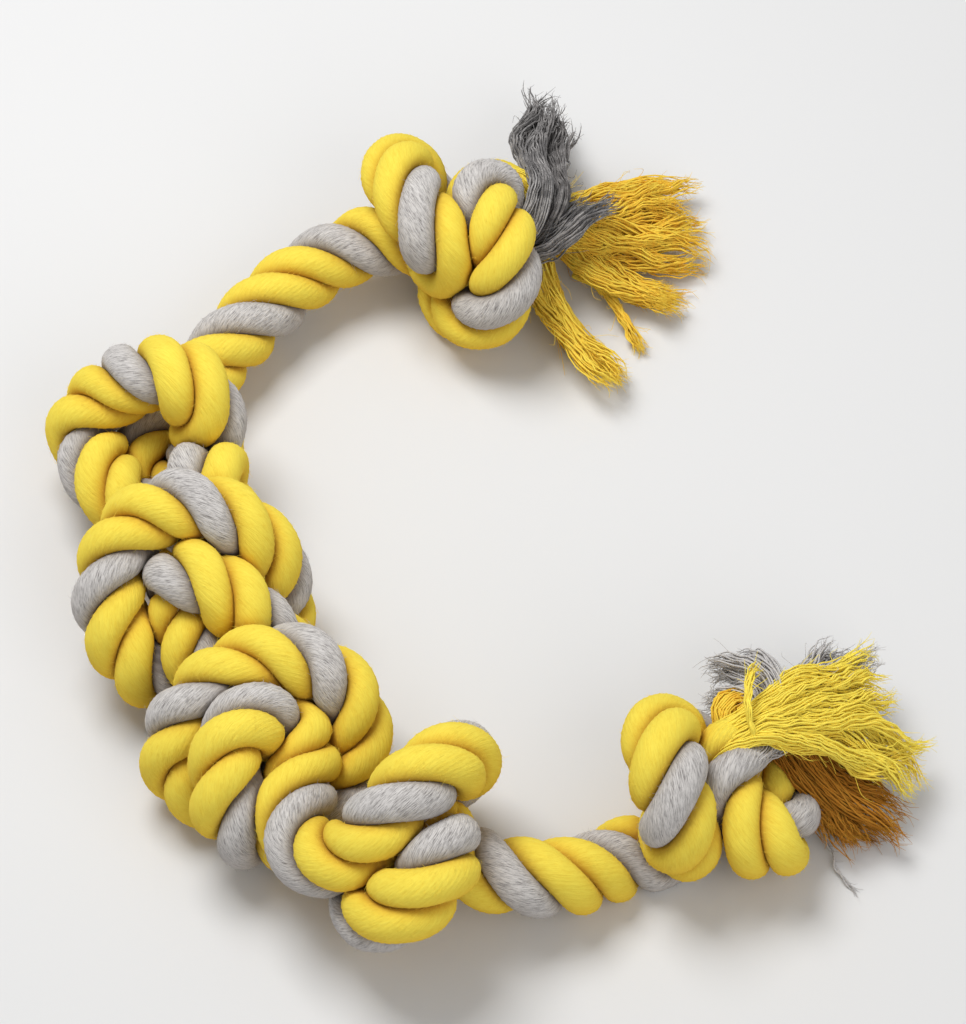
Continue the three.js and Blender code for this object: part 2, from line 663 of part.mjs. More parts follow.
const toy = new THREE.Group();
const rope = unlaid(ropeRoute());
const { routes } = rope;
const roundLimits = Array.from({ length: strandSides }, () => strandRadius);
const strandLines = routes.map((points) => ({
  points, frames: framesAlong(points), limits: points.map(() => roundLimits),
}));
const hankPoints = hankRoutes(routes);
const lines = [...strandLines, ...hanks.map((hank, i) => hankLine(hank, hankPoints[i], routes))];
const reaches = pressedReaches(lines);
sections(rope).forEach(({ name, from, to }) => {
  strands.forEach((strand, number) => {
    const geometry = lengthOf(lines[number], reaches[number], from, to);
    toy.add(piece(`${name}_${strand.name}`, geometry, strand.colour));
  });
});
hanks.forEach((hank, i) => {
  const number = strands.length + i;
  const geometry = lengthOf(lines[number], reaches[number], 0, hankRings - 1);
  toy.add(piece(hank.name, geometry, strands[hank.strand].colour));
});

// The origin is the middle of the footprint, on the floor
const middle = new THREE.Box3().setFromObject(toy, true).getCenter(new THREE.Vector3());
toy.position.set(-middle.x, -middle.y, 0);

const ropeLength = lengthsAlong(rope.centre).at(-1).toFixed(0);
console.log(`Rope ${ropeLength} mm long, least gap ${leastGap(lines, reaches).toFixed(2)} mm`);

export default toy;
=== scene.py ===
"""Rope toy for a large dog: three soft cotton strands, laid into a rope, knotted and unlaid.

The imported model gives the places. Each strand is a tube of twisted yarns whose section is pressed
flat where another pass touches it, and each tassel hank is a bundle of loose yarns.
"""

import json
import math

import bmesh
import bpy
import numpy as np
from bpy.props import FloatProperty, FloatVectorProperty, IntProperty, PointerProperty
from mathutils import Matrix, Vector
from mathutils.kdtree import KDTree

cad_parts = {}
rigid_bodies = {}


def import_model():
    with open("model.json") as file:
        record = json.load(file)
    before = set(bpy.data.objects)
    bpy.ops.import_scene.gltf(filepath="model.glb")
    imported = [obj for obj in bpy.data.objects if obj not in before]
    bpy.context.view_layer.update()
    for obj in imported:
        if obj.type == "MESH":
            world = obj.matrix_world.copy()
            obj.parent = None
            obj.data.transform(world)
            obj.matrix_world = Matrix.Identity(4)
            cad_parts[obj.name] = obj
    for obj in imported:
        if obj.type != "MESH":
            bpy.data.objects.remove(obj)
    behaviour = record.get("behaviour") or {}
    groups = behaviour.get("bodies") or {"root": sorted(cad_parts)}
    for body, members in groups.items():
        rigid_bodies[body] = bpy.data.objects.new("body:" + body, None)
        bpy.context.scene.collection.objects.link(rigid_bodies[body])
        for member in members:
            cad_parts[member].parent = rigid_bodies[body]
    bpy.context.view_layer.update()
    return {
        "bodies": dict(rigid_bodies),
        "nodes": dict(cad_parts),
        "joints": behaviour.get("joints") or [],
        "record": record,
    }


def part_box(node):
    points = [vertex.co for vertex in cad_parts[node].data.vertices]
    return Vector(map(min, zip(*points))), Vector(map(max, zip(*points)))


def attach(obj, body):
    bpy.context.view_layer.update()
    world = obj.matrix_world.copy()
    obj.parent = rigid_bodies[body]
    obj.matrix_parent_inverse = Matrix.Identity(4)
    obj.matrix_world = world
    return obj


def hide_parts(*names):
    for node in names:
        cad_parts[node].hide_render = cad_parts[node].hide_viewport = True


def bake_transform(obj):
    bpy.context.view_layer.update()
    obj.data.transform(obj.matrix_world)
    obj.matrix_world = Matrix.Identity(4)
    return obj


bl_info = {
    "name": "Knotted Rope Toy",
    "version": (1, 0, 0),
    "blender": (4, 5, 0),
    "location": "3D View > Sidebar > Rope Toy",
    "description": "Dresses a knotted three-strand rope toy with yarns, fuzz and tassels",
    "category": "Object",
}

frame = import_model()
TURN = 2 * math.pi

# Rope, in metres
ROPE_DIAMETER = 0.038
LAY_LENGTH = 0.076
STRAND_CIRCLE_RADIUS = 0.0112
STRAND_DIAMETER = 0.019
LENGTH_GAP = 0.0003
FLOOR_CUT_SHARE = 0.1

# Drawing tight, as the solids are
PACKED_ROPE_SHARE = 0.86
PACKED_STRAND_SHARE = 0.92
STEPS_PER_LAY = 8
SPAN_POINTS = 12
ROUTE_STEP = 0.21 * ROPE_DIAMETER
OTHER_PASS_SHARE = 1.72
NEAR_PAIR_SHARE = 1.35
ROUTE_ROUNDS = 260
STRAND_ROUNDS = 60
ROUTE_FAIRING = 0.3
ROUTE_STIFFNESS = 0.5
STRAND_FAIRING = 0.25
STRAND_STIFFNESS = 0.3
PAIR_ROUNDS = 8
SMOOTHING_STEPS = 4
STRAND_RADIUS = STRAND_DIAMETER / 2
STRAND_FLOOR = STRAND_RADIUS * (PACKED_STRAND_SHARE - 2 * FLOOR_CUT_SHARE)
ROUTE_FLOOR = STRAND_CIRCLE_RADIUS * PACKED_ROPE_SHARE + STRAND_FLOOR

# The knots along the rope: name, angle of the grey strand round the rope at the knot's middle in
# degrees, and the rope's route through it in rope diameters
KNOTS = (
    ("end_knot_1", 214,
     [(-0.99, 4.75, 1.52), (-0.37, 4.58, 1.59), (0.03, 3.88, 1.8), (0.22, 3.05, 1.76),
      (0.29, 2.61, 1.49), (0.25, 2.29, 0.92), (-0.07, 2.29, 0.4), (-0.33, 2.99, 0.4),
      (-0.22, 3.76, 0.5), (-0.28, 4.21, 0.5), (-0.64, 4.58, 0.44), (-1.04, 5.09, 0.6),
      (-1.24, 5.5, 1.13), (-1.36, 5.53, 1.71), (-1.43, 5.2, 2.19), (-1.28, 4.68, 2.21),
      (-1.06, 4.06, 2.02), (-0.83, 3.74, 1.81), (-0.5, 3.65, 1.34), (-0.12, 3.66, 0.8),
      (0.3, 3.72, 0.48)]),
    ("knot_2", 250,
     [(-5.11, -0.5, 0.77), (-4.82, -0.22, 0.78), (-4.47, -0.04, 0.91), (-4.03, 0.05, 1.16),
      (-3.72, 0.13, 1.64), (-3.68, 0.38, 2.35), (-3.91, 0.72, 2.89), (-4.15, 0.93, 2.97),
      (-4.46, 0.94, 2.55), (-4.92, 0.85, 1.85), (-5.41, 0.91, 1.23), (-5.88, 1.21, 0.94),
      (-6.12, 0.95, 0.87), (-5.99, 0.41, 0.88), (-5.25, -0.02, 1.2), (-4.44, -0.38, 1.33),
      (-4.17, -0.68, 0.87), (-4.14, -0.9, 0.56), (-4.07, -0.94, 1.08), (-3.94, -0.68, 1.79),
      (-3.78, -0.19, 2.32)]),
    ("knot_3", 60,
     [(-3.28, -3.38, 0.77), (-3.91, -3.33, 0.82), (-4.55, -3.33, 1.18), (-4.99, -3.04, 1.53),
      (-5.45, -2.43, 1.73), (-5.74, -1.87, 1.93), (-5.48, -1.29, 2), (-4.76, -0.99, 2.35),
      (-4.06, -0.98, 2.46), (-3.56, -1.16, 2.1), (-3.16, -1.48, 1.66), (-3.2, -1.79, 1.1),
      (-3.36, -2.05, 0.5), (-3.04, -2.27, 0.58), (-2.89, -2.7, 0.57), (-3.15, -3.29, 0.66),
      (-3.47, -3.42, 1.2), (-3.68, -3.02, 1.68), (-3.81, -2.43, 1.94), (-4, -1.87, 2.04),
      (-4.33, -1.41, 2.05)]),
    ("knot_4", 9,
     [(-2.91, -5.55, 0.81), (-3.23, -5.11, 0.56), (-3.6, -4.63, 0.52), (-3.79, -4.12, 0.91),
      (-3.66, -3.62, 1.51), (-3.12, -3.18, 2.01), (-2.37, -3.03, 2.24), (-2.04, -3.32, 1.95),
      (-2, -3.77, 1.53), (-1.97, -4.42, 1.07), (-1.95, -5.2, 0.82), (-2.26, -5.58, 0.6),
      (-3, -5.75, 0.67), (-3.36, -5.95, 0.92), (-3.63, -5.91, 1.38), (-3.92, -5.54, 1.83),
      (-3.62, -5.05, 1.87), (-3.22, -4.5, 2.01), (-3.03, -4.1, 2.12), (-2.9, -3.74, 1.93),
      (-2.87, -3.32, 1.53)]),
    ("knot_5", 316,
     [(-1.27, -7.19, 2.18), (-1.32, -6.75, 2.44), (-0.77, -6.34, 2.5), (-0.13, -5.89, 2.44),
      (-0.32, -5.22, 2.07), (-0.5, -4.84, 1.2), (-0.34, -4.72, 0.6), (-0.21, -4.53, 0.6),
      (-0.61, -4.5, 0.54), (-1.09, -4.72, 0.47), (-1.51, -5.37, 0.47), (-1.74, -6.25, 0.7),
      (-1.77, -6.91, 0.86), (-1.64, -7.32, 1.55), (-1.35, -7.34, 2.36), (-0.99, -6.94, 2.53),
      (-0.55, -6.51, 2.45), (-0.32, -6.12, 2.26), (-0.46, -5.73, 1.92), (-0.79, -5.32, 1.67),
      (-1.21, -4.92, 1.48)]),
    ("end_knot_6", 307,
     [(3.47, -5.2, 0.51), (3.11, -5.33, 0.55), (2.98, -5.51, 0.65), (2.77, -5.75, 0.94),
      (2.7, -5.7, 1.89), (2.62, -5.55, 2.54), (2.4, -5.05, 2.64), (2.31, -4.31, 2.09),
      (2.12, -4.16, 1.44), (2.2, -4.5, 1.1), (2.8, -4.65, 1.09), (3.86, -4.79, 1.15),
      (4.43, -5.07, 1.05), (4.37, -5.21, 0.93), (4.35, -5.6, 0.8), (4.21, -6.01, 0.73),
      (3.68, -6.09, 0.8), (3.14, -5.93, 0.92), (2.98, -5.68, 1.01), (2.89, -5.4, 1.04),
      (2.51, -5.26, 1.25)]),
)

# Where the bare rope runs, in rope diameters
BARE_ROUTES = {
    "end_knot_1": [(-2.58, 4.3, 0.83)],
    "knot_4": [(-2.79, -6.1, 1.02)],
    "knot_5": [(-0.11, -6.56, 1.62), (1.59, -6.25, 0.78)],
}
ROUTE_START = [(1.25, 4.02, 0.53)]
ROUTE_END = [(5.4, -3.14, 1.39)]
TAIL = 0.5

STRANDS = ("grey_strand", "yellow_strand_a", "yellow_strand_b")
SLOTS = ("grey_cotton", "yellow_cotton", "yellow_cotton")

# The lengths that the rope is made in: name, bodies, and its first and last section
LENGTHS = (
    ("first_end", ("first_end",), "end_knot_1", "end_knot_1"),
    ("first_bend", ("first_end", "middle"), "bare_stretch_1", "bare_stretch_1"),
    ("middle", ("middle",), "knot_2", "knot_5"),
    ("second_bend", ("middle", "second_end"), "bare_stretch_5", "bare_stretch_5"),
    ("second_end", ("second_end",), "end_knot_6", "end_knot_6"),
)

# Tassel hanks: end of the rope, strand, side of it, how dark, which is partly painted shade, and
# route in rope diameters
HANKS = (
    ("tassel_1_grey_hank_back", 0, 0, -1, 0.85,
     [(0.69, 3.87, 1.11), (1.07, 3.99, 1.58), (0.75, 4.83, 1.63), (0.71, 6.17, 0.95),
      (1.12, 7.06, 0.58)]),
    ("tassel_1_grey_hank_side", 0, 0, 1, 0.85,
     [(0.61, 4.09, 0.85), (1.14, 4.34, 1.35), (1.84, 4.8, 1.05)]),
    ("tassel_1_yellow_hank_outer", 0, 1, -1, 0.5,
     [(1.23, 4.56, 0.9), (1.94, 5.06, 0.55), (2.67, 5.36, 0.35), (3.31, 5.29, 0.29)]),
    ("tassel_1_yellow_hank_middle", 0, 1, 1, 0.5,
     [(1.29, 4.24, 0.89), (1.96, 4.43, 0.42), (2.66, 4.53, 0.32), (3.38, 4.47, 0.26)]),
    ("tassel_1_yellow_hank_inner", 0, 2, -1, 0.5,
     [(1.03, 4.17, 0.53), (1.66, 3.85, 0.32), (2.37, 3.63, 0.26), (3.08, 3.39, 0.24)]),
    ("tassel_1_yellow_hank_front", 0, 2, 1, 0.35,
     [(0.85, 4.07, 0.42), (0.77, 3.47, 0.26), (1.28, 2.62, 0.26), (2.13, 2, 0.24)]),
    ("tassel_2_grey_hank_back", 1, 0, -1, 0.1,
     [(3.91, -4.43, 1.74), (3.79, -3.91, 1.74), (3.46, -3.38, 1.37), (3.08, -3.46, 0.89)]),
    ("tassel_2_grey_hank_side", 1, 0, 1, 0.1,
     [(3.97, -4.47, 1.63), (4.28, -3.82, 1.42), (4.78, -3.17, 1), (5.35, -2.7, 0.63)]),
    ("tassel_2_yellow_hank_top", 1, 2, -1, 0.0,
     [(3.94, -4.33, 1.95), (4.48, -3.94, 1.63), (5.05, -3.51, 1.21), (5.67, -3.37, 0.79)]),
    ("tassel_2_yellow_hank_arch", 1, 2, 1, 0.0,
     [(3.99, -4.67, 2), (4.59, -4.47, 1.63), (5.29, -4.36, 1.11), (6.08, -4.52, 0.53)]),
    ("tassel_2_yellow_hank_inner", 1, 1, -1, 1.35,
     [(4.04, -4.64, 1.26), (4.57, -4.81, 0.89), (5.1, -4.98, 0.53), (5.71, -5.43, 0.26)]),
    ("tassel_2_yellow_hank_low", 1, 1, 1, 1.5,
     [(3.91, -4.7, 0.63), (4.13, -4.99, 0.42), (4.62, -5.31, 0.29), (5.22, -5.64, 0.25)]),
)
HANK_ROOT_SHARE = 0.25
HANK_STEPS = 36
HANK_RINGS = 13
HANK_CLEAR = 0.16 * ROPE_DIAMETER
HANK_APART = 0.34 * ROPE_DIAMETER
HANK_FLOOR = 0.19 * ROPE_DIAMETER / 2
HANK_ROUNDS = 30

# A strand closes over its last stretch, and the hank opens out of it. The shares give a hank's
# half width and half thickness at its root, at the strand's end, past its middle and at its tip
OPENING = 0.024
OPEN_END_SHARE = 0.4
HANK_WIDTH_SHARES = (0.12, 0.13, 0.42, 0.54)
HANK_THICKNESS_SHARES = (0.22, 0.22, 0.21, 0.2)
WIDENING_SHARE = 0.6

# Locks of yarn in a hank, and yarns in a lock. A pair is the least and the most of a random size,
# reach or length
LOCKS = 9
LOCK_RADIUS = 0.0036
LOCK_ROOT_SHARE = 0.8
LOCK_GAIN = 0.6
LOCK_REACHES = (0.8, 1)
LOCK_TURN = 0.4
LOCK_PITCH = 0.16
LOCK_SWAY_SHARE = 0.35
LOCK_SWAY_LENGTHS = (0.04, 0.1)
GOLDEN_ANGLE = 2.39996
CRIMP = 0.001
CRIMP_SIZES = (0.5, 1.3)
CRIMP_SHIFT = 0.4
CRIMP_TURN = 0.5
CRIMP_GROWTH_SHARE = 0.25
CRIMP_LENGTHS = (0.009, 0.015)
DRIFT = 0.0012
DRIFT_LENGTHS = (0.03, 0.08)
SHORT_YARNS = 0.12
SHORT_YARN_SHARE = 0.72
LONG_YARN_SHARE = 0.9
YARN_SIZES = (0.8, 1.2)
YARN_TIP_SHARE = 0.5
YARN_TIP_STEPS = 3
YARN_FLOOR = 0.0006

# Darkness of loose yarn, from 0 for the palest: painted shade added to yarns that lie low in a
# hank, and a random part. A hank's own darkening, partly painted shade, grows from root to middle
LOW_SHADE = 0.8
HIGH_SHARE = 0.45
RANDOM_TONE = 0.12
TONE_AND_SHADE_SHARE = 0.5
TONE_AND_SHADE_POWER = 1.5
THIN_LOCK_DEPTH = 0.3
FUZZ_TONES = (0, 0.5)

# Fibres: what a cut yarn ends in, what leaves its side, and what stands off a strand
FRAY_FIBRES = 2
FRAY_LENGTHS = (0.003, 0.008)
FRAY_RADII = (0.00022, 0.00007)
FRAY_ROOT = 0.001
FRAY_BEND = 0.1
FRAY_SPREAD = 0.35
STRAY_STEPS = 4
STRAY_BEND = 0.0022
STRAY_SPREAD = 2.4
STRAY_CURL = 0.0016
STRAY_REACHES = (-0.3, 0.6)
FUZZ_RADII = (0.00008, 0.00006, 0.00003)
FUZZ_REACHES = (0.3, 1)
FUZZ_ROOT = 0.0004
FUZZ_LEAN = 0.8
OPEN_SKIN_SHARE = 0.97
FIBRE_FLOOR = 0.0002
FUZZ_FLOOR = 0.0001

# Thin locks that stand apart from a hank: the hank, yarns, radius, and route in rope diameters
THIN_LOCKS = (
    ("tassel_1_yellow_hank_inner", 26, 0.0026,
     [(1.35, 4.0, 0.3), (1.8, 3.72, 0.3), (2.12, 3.2, 0.2), (2.46, 2.5, 0.12)]),
    ("tassel_2_yellow_hank_top", 14, 0.0016,
     [(3.66, -4.8, 1.9), (3.56, -4.5, 2.2), (3.58, -4.1, 2.25), (3.72, -3.66, 1.95)]),
    ("tassel_2_grey_hank_side", 4, 0.0009,
     [(4.7, -5.2, 0.12), (4.8, -5.62, 0.07), (4.92, -5.95, 0.05), (5.2, -6.14, 0.05)]),
)

# Meshes
SIDES_PER_YARN = 3
SPAN_STEPS = 4
RING_STEP = 0.003
PRESS_GAP = 0.0002
PRESS_POWER = 10
# Painted shade: how far the crease mask reaches, how far painted soft shade reaches round a crease,
# and how much sides facing down take of it
CREASE_REACH = 0.003
SOFT_SHADE_REACH = 0.009
UNDERSIDE_SHADE = 0.7
BULGE_LIMIT = 1.09
YARN_PITCH = 0.075
YARN_TWIST = -TURN / YARN_PITCH
LUMP_LENGTH = 0.012
LUMP_SHARE = 0.03
LUMP_WAVES = 6
SKIN_FLOOR = 0.0002
LOOSENING = 0.045
LOOSE_RELIEF = 4

# The photograph's view: the picture's height in pixels, its scale, and where its middle looks
PICTURE_HEIGHT = 1024
METRES_PER_PIXEL = 0.00055
VIEW_ELEVATION = math.radians(58)
VIEW_DISTANCE = 2.2
VIEW_CENTRE = (-0.0002, 0.0091, 0.0)
SENSOR_WIDTH = 36
FAR_CLIP = 50

# Soft studio light: each lamp's name, place, size and power
LAMPS = (("key", (-0.5, 0.5, 1.7), 0.9, 27), ("fill", (1.0, -1.3, 1.3), 1.6, 11))
WORLD_STRENGTH = 0.37
FLOOR_HALF_SIZE = 6


# Route of the rope and its strands

def placed(shares):
    return np.array(shares, float) * ROPE_DIAMETER


def lengths_along(points):
    steps = np.linalg.norm(np.diff(points, axis=0), axis=1)
    return np.concatenate([[0], np.cumsum(steps)])


def at_lengths(points, targets):
    lengths = lengths_along(points)
    return np.stack([np.interp(targets, lengths, points[:, axis]) for axis in range(3)], axis=1)


def spaced(points, count, share=1):
    """Evenly spaced points along a line, or along the first share of it."""
    return at_lengths(points, np.linspace(0, lengths_along(points)[-1] * share, count))


def evenly_spaced(points, step):
    return spaced(points, int(lengths_along(points)[-1] / step + 0.5) + 1)


def kept_above(points, floor):
    """The points, with any that lie under the floor's height raised to it."""
    points[..., 2] = np.maximum(points[..., 2], floor)
    return points


def unit(vector):
    return vector / np.linalg.norm(vector)


def square_to(vector, axis):
    """A vector without what it has of a direction."""
    return vector - vector.dot(axis) * axis


def through(points, count=8):
    """A smooth curve through points, with count steps for each span."""
    points = np.array(points, float)
    wide = np.vstack([2 * points[0] - points[1], points, 2 * points[-1] - points[-2]])
    t = (np.arange(count) / count)[:, None]
    spans = []
    for a, b, c, d in zip(wide, wide[1:], wide[2:], wide[3:]):
        spans.append(0.5 * (2 * b + (c - a) * t + (2 * a - 5 * b + 4 * c - d) * t ** 2
                            + (3 * b - a - 3 * c + d) * t ** 3))
    return np.vstack(spans + [points[-1:]])


def settle(lines, radius, rounds, fairing, stiffness, skip, floor):
    """Draws lines tight: passes push apart, neighbours keep their spacing, bends ease out."""
    points = np.vstack(lines)
    line = np.repeat(np.arange(len(lines)), [len(own) for own in lines])
    joined = np.nonzero(line[:-1] == line[1:])[0]
    inner = joined[np.isin(joined - 1, joined)]
    spacing = np.linalg.norm(points[joined + 1] - points[joined], axis=1)
    for number in range(rounds):
        if number % PAIR_ROUNDS == 0:
            apart = np.linalg.norm(points[:, None] - points[None], axis=2)
            first, second = np.nonzero(np.triu(apart < 2 * radius * NEAR_PAIR_SHARE, 1))
            other = (line[first] != line[second]) | (second - first > skip)
            first, second = first[other], second[other]
        gap = points[second] - points[first]
        length = np.linalg.norm(gap, axis=1)
        near = length < 2 * radius
        push = gap[near] * ((2 * radius - length[near]) / (2 * length[near]))[:, None]
        moves = np.zeros_like(points)
        counts = np.zeros(len(points))
        for pushed, move in ((first[near], -push), (second[near], push)):
            np.add.at(moves, pushed, move)
            np.add.at(counts, pushed, 1)
        points = points + moves / np.maximum(counts, 1)[:, None]
        for _ in range(2):
            step = points[joined + 1] - points[joined]
            length = np.linalg.norm(step, axis=1)
            step *= (stiffness * (length - spacing) / (2 * length))[:, None]
            moves = np.zeros_like(points)
            moves[joined] += step
            moves[joined + 1] -= step
            points = points + moves
        middles = (points[inner - 1] + points[inner + 1]) / 2
        points[inner] += fairing * (middles - points[inner])
        kept_above(points, floor)
    return np.split(points, np.cumsum([len(own) for own in lines])[:-1])


def frames_along(points):
    """A frame at each point that turns no more than the line does: along, across and third."""
    ahead = np.vstack([points[1:], points[-1:]])
    behind = np.vstack([points[:1], points[:-1]])
    along = ahead - behind
    along /= np.linalg.norm(along, axis=1, keepdims=True)
    across = np.zeros_like(along)
    last = np.array([0.0, 0.0, 1.0])
    for i, direction in enumerate(along):
        last = unit(square_to(last, direction))
        across[i] = last
    return along, across, np.cross(along, across)


def ways_round(across, third, angles):
    """The directions at angles round a line whose frame is given."""
    return (across[..., None, :] * np.cos(angles)[..., None]
            + third[..., None, :] * np.sin(angles)[..., None])


def set_down(lines, ends, middles, floor):
    """Sets each knot down on the floor. What runs between two knots follows both."""
    drops = [floor - min(line[first:last + 1, 2].min() for line in lines) for first, last in ends]
    for line in lines:
        line[:, 2] += np.interp(np.arange(len(line)), middles, drops)
        kept_above(line, floor)


def rope_route():
    """The rope's centre line, drawn tight, and where each knot begins, ends and is half done."""
    controls = [placed(shares) for shares in ROUTE_START]
    spans = []
    for name, _, route in KNOTS:
        first = len(controls)
        controls.extend(placed(shares) for shares in route)
        spans.append((first, len(controls) - 1))
        controls.extend(placed(shares) for shares in BARE_ROUTES.get(name, []))
    controls.extend(placed(shares) for shares in ROUTE_END)
    fine = through(controls, SPAN_POINTS)
    lengths = lengths_along(fine)
    loose = evenly_spaced(fine, ROUTE_STEP)
    skip = math.floor(OTHER_PASS_SHARE * ROPE_DIAMETER / ROUTE_STEP)
    tight, = settle([loose], PACKED_ROPE_SHARE * ROPE_DIAMETER / 2, ROUTE_ROUNDS, ROUTE_FAIRING,
                    ROUTE_STIFFNESS, skip, ROUTE_FLOOR)

    def index_of(control):
        return int((len(tight) - 1) * lengths[control * SPAN_POINTS] / lengths[-1] + 0.5)

    ends = [(index_of(first), index_of(last)) for first, last in spans]
    middles = [(first + last) / 2 for first, last in ends]
    set_down([tight], ends, middles, ROUTE_FLOOR)
    tight_lengths = lengths_along(tight)
    even = evenly_spaced(tight, LAY_LENGTH / STEPS_PER_LAY)

    def even_place(index):
        share = tight_lengths[int(index + 0.5)] / tight_lengths[-1]
        return int((len(even) - 1) * share + 0.5)

    return {
        "centre": even,
        "ends": [(even_place(first), even_place(last)) for first, last in ends],
        "middles": [even_place(middle) for middle in middles],
    }


def strand_routes(rope):
    """The three strands wound along the centre line, closer where the rope is pressed."""
    centre = rope["centre"]
    number = np.arange(len(centre))
    skip = int(OTHER_PASS_SHARE * ROPE_DIAMETER * STEPS_PER_LAY / LAY_LENGTH + 0.5)
    apart = np.linalg.norm(centre[:, None] - centre[None], axis=2)
    apart[np.abs(np.subtract.outer(number, number)) <= skip] = np.inf
    pressed = np.clip(apart.min(axis=1) / ROPE_DIAMETER, PACKED_ROPE_SHARE, 1)
    window = np.ones(2 * SMOOTHING_STEPS + 1) / (2 * SMOOTHING_STEPS + 1)
    squeeze = np.convolve(np.pad(pressed, SMOOTHING_STEPS, mode="edge"), window, "valid")
    _, across, third = frames_along(centre)
    laid = TURN * lengths_along(centre) / LAY_LENGTH
    twists = []
    last = 0
    for (_, phase, _), middle in zip(KNOTS, rope["middles"]):
        turned = math.radians(phase) - laid[middle]
        last = turned - TURN * math.floor((turned - last) / TURN + 0.5)
        twists.append(last)
    twist = np.interp(number, rope["middles"], twists)
    radius = STRAND_CIRCLE_RADIUS * squeeze
    wound = []
    for strand in range(len(STRANDS)):
        angle = laid + TURN * strand / len(STRANDS) + twist
        wound.append(centre + across * (radius * np.cos(angle))[:, None]
                     + third * (radius * np.sin(angle))[:, None])
    skip = int(2 * STRAND_DIAMETER * STEPS_PER_LAY / LAY_LENGTH + 0.5)
    settled = settle(wound, PACKED_STRAND_SHARE * STRAND_RADIUS, STRAND_ROUNDS, STRAND_FAIRING,
                     STRAND_STIFFNESS, skip, STRAND_FLOOR)
    set_down(settled, rope["ends"], rope["middles"], STRAND_FLOOR)
    return settled


def sections_of(rope):
    """Where each knot and each bare stretch begins and ends on the strands."""
    sections = {}
    start = 0
    stretch = 0
    ends = rope["ends"]
    for i, (name, _, _) in enumerate(KNOTS):
        if i == len(KNOTS) - 1:
            sections[name] = (start, len(rope["centre"]) - 1)
        elif ends[i + 1][0] - ends[i][1] > STEPS_PER_LAY:
            stretch += 1
            sections[name] = (start, ends[i][1])
            sections[f"bare_stretch_{stretch}"] = (ends[i][1], ends[i + 1][0])
            start = ends[i + 1][0]
        else:
            middle = int((ends[i][1] + ends[i + 1][0]) / 2 + 0.5)
            sections[name] = (start, middle)
            start = middle
    return sections


def laid_rope():
    """The rope, unlaid a short way out of each end knot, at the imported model's place."""
    rope = rope_route()
    routes = strand_routes(rope)
    tail = int(TAIL * ROPE_DIAMETER * STEPS_PER_LAY / LAY_LENGTH + 0.5)
    start = max(rope["ends"][0][0] - tail, 0)
    stop = rope["ends"][-1][1] + tail + 1
    rope = {
        "centre": rope["centre"][start:stop],
        "ends": [(first - start, last - start) for first, last in rope["ends"]],
        "strands": [route[start:stop] for route in routes],
    }
    rope["sections"] = sections_of(rope)
    shifts = []
    for section, (first, last) in rope["sections"].items():
        for strand, route in zip(STRANDS, rope["strands"]):
            low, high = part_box(f"{section}_{strand}")
            own = route[first:last + 1]
            shifts.append(np.array((low + high) / 2) - (own.min(axis=0) + own.max(axis=0)) / 2)
    rope["shift"] = np.median(shifts, axis=0) * (1, 1, 0)
    rope["centre"] = rope["centre"] + rope["shift"]
    rope["strands"] = [route + rope["shift"] for route in rope["strands"]]
    return rope


# Meshes

def softened(values):
    """Values on a tube's rings, each evened out with its neighbours round and along the tube."""
    for _ in range(2):
        values = (np.roll(values, 1, axis=1) + 2 * values + np.roll(values, -1, axis=1)) / 4
    padded = np.pad(values, ((1, 1), (0, 0)), mode="edge")
    return (padded[:-2] + 2 * values + padded[2:]) / 4


def rounded_least(one, other):
    """The smaller of two lengths, rounded off where they are close."""
    return (one ** -PRESS_POWER + other ** -PRESS_POWER) ** (-1 / PRESS_POWER)


def pressed_reaches(lines, frames, radius, sides):
    """How far each side of each line reaches: its radius, or halfway to the pass that presses.

    With it come two masks from 0 to 1: how far each side lies in a crease between two passes, which
    flattens its yarns and takes painted dark shade, and in the wider band round it, painted soft
    shade.
    """
    tree = KDTree(sum(len(line) for line in lines))
    owners = []
    for number, line in enumerate(lines):
        for i, point in enumerate(line):
            tree.insert(point, len(owners))
            owners.append((number, i))
    tree.balance()
    owners = np.array(owners)
    everything = np.vstack(lines)
    skip = int(2 * STRAND_DIAMETER / RING_STEP)
    angles = TURN * np.arange(sides) / sides
    result = []
    for number, (line, (_, across, third)) in enumerate(zip(lines, frames)):
        reaches = np.full((len(line), sides), radius)
        creases = np.zeros((len(line), sides))
        soft_shades = np.zeros((len(line), sides))
        for i, point in enumerate(line):
            near = tree.find_range(point, 2 * radius + SOFT_SHADE_REACH)
            found = np.array([index for _, index, _ in near])
            own = (owners[found, 0] == number) & (np.abs(owners[found, 1] - i) <= skip)
            gaps = everything[found[~own]] - point
            if not len(gaps):
                continue
            sideways = ways_round(across[i], third[i], angles + YARN_TWIST * i * RING_STEP)
            towards = gaps @ sideways.T
            square = (gaps ** 2).sum(axis=1)[:, None]
            half = np.where(towards > 0, square / np.maximum(2 * towards, 1e-9), np.inf)
            room = half.min(axis=0) - PRESS_GAP
            pressed = rounded_least(radius, room)
            bulge = math.sqrt(radius ** 2 * sides / (pressed ** 2).sum())
            reaches[i] = rounded_least(radius * min(bulge, BULGE_LIMIT), room)
            away = np.linalg.norm(reaches[i][:, None, None] * sideways[:, None] - gaps, axis=2)
            clear = away.min(axis=1) - radius
            # Masks for painted shade: 1 where a side touches the pass that presses, 0 beyond their
            # reach
            creases[i] = np.clip(1 - clear / CREASE_REACH, 0, 1)
            soft_shades[i] = np.clip(1 - clear / SOFT_SHADE_REACH, 0, 1)
        result.append((softened(reaches), softened(creases), softened(soft_shades)))
    return result


def set_mask(mesh, key, values):
    attribute = mesh.attributes.new(key, "FLOAT", "POINT")
    attribute.data.foreach_set("value", values.astype(np.float32))


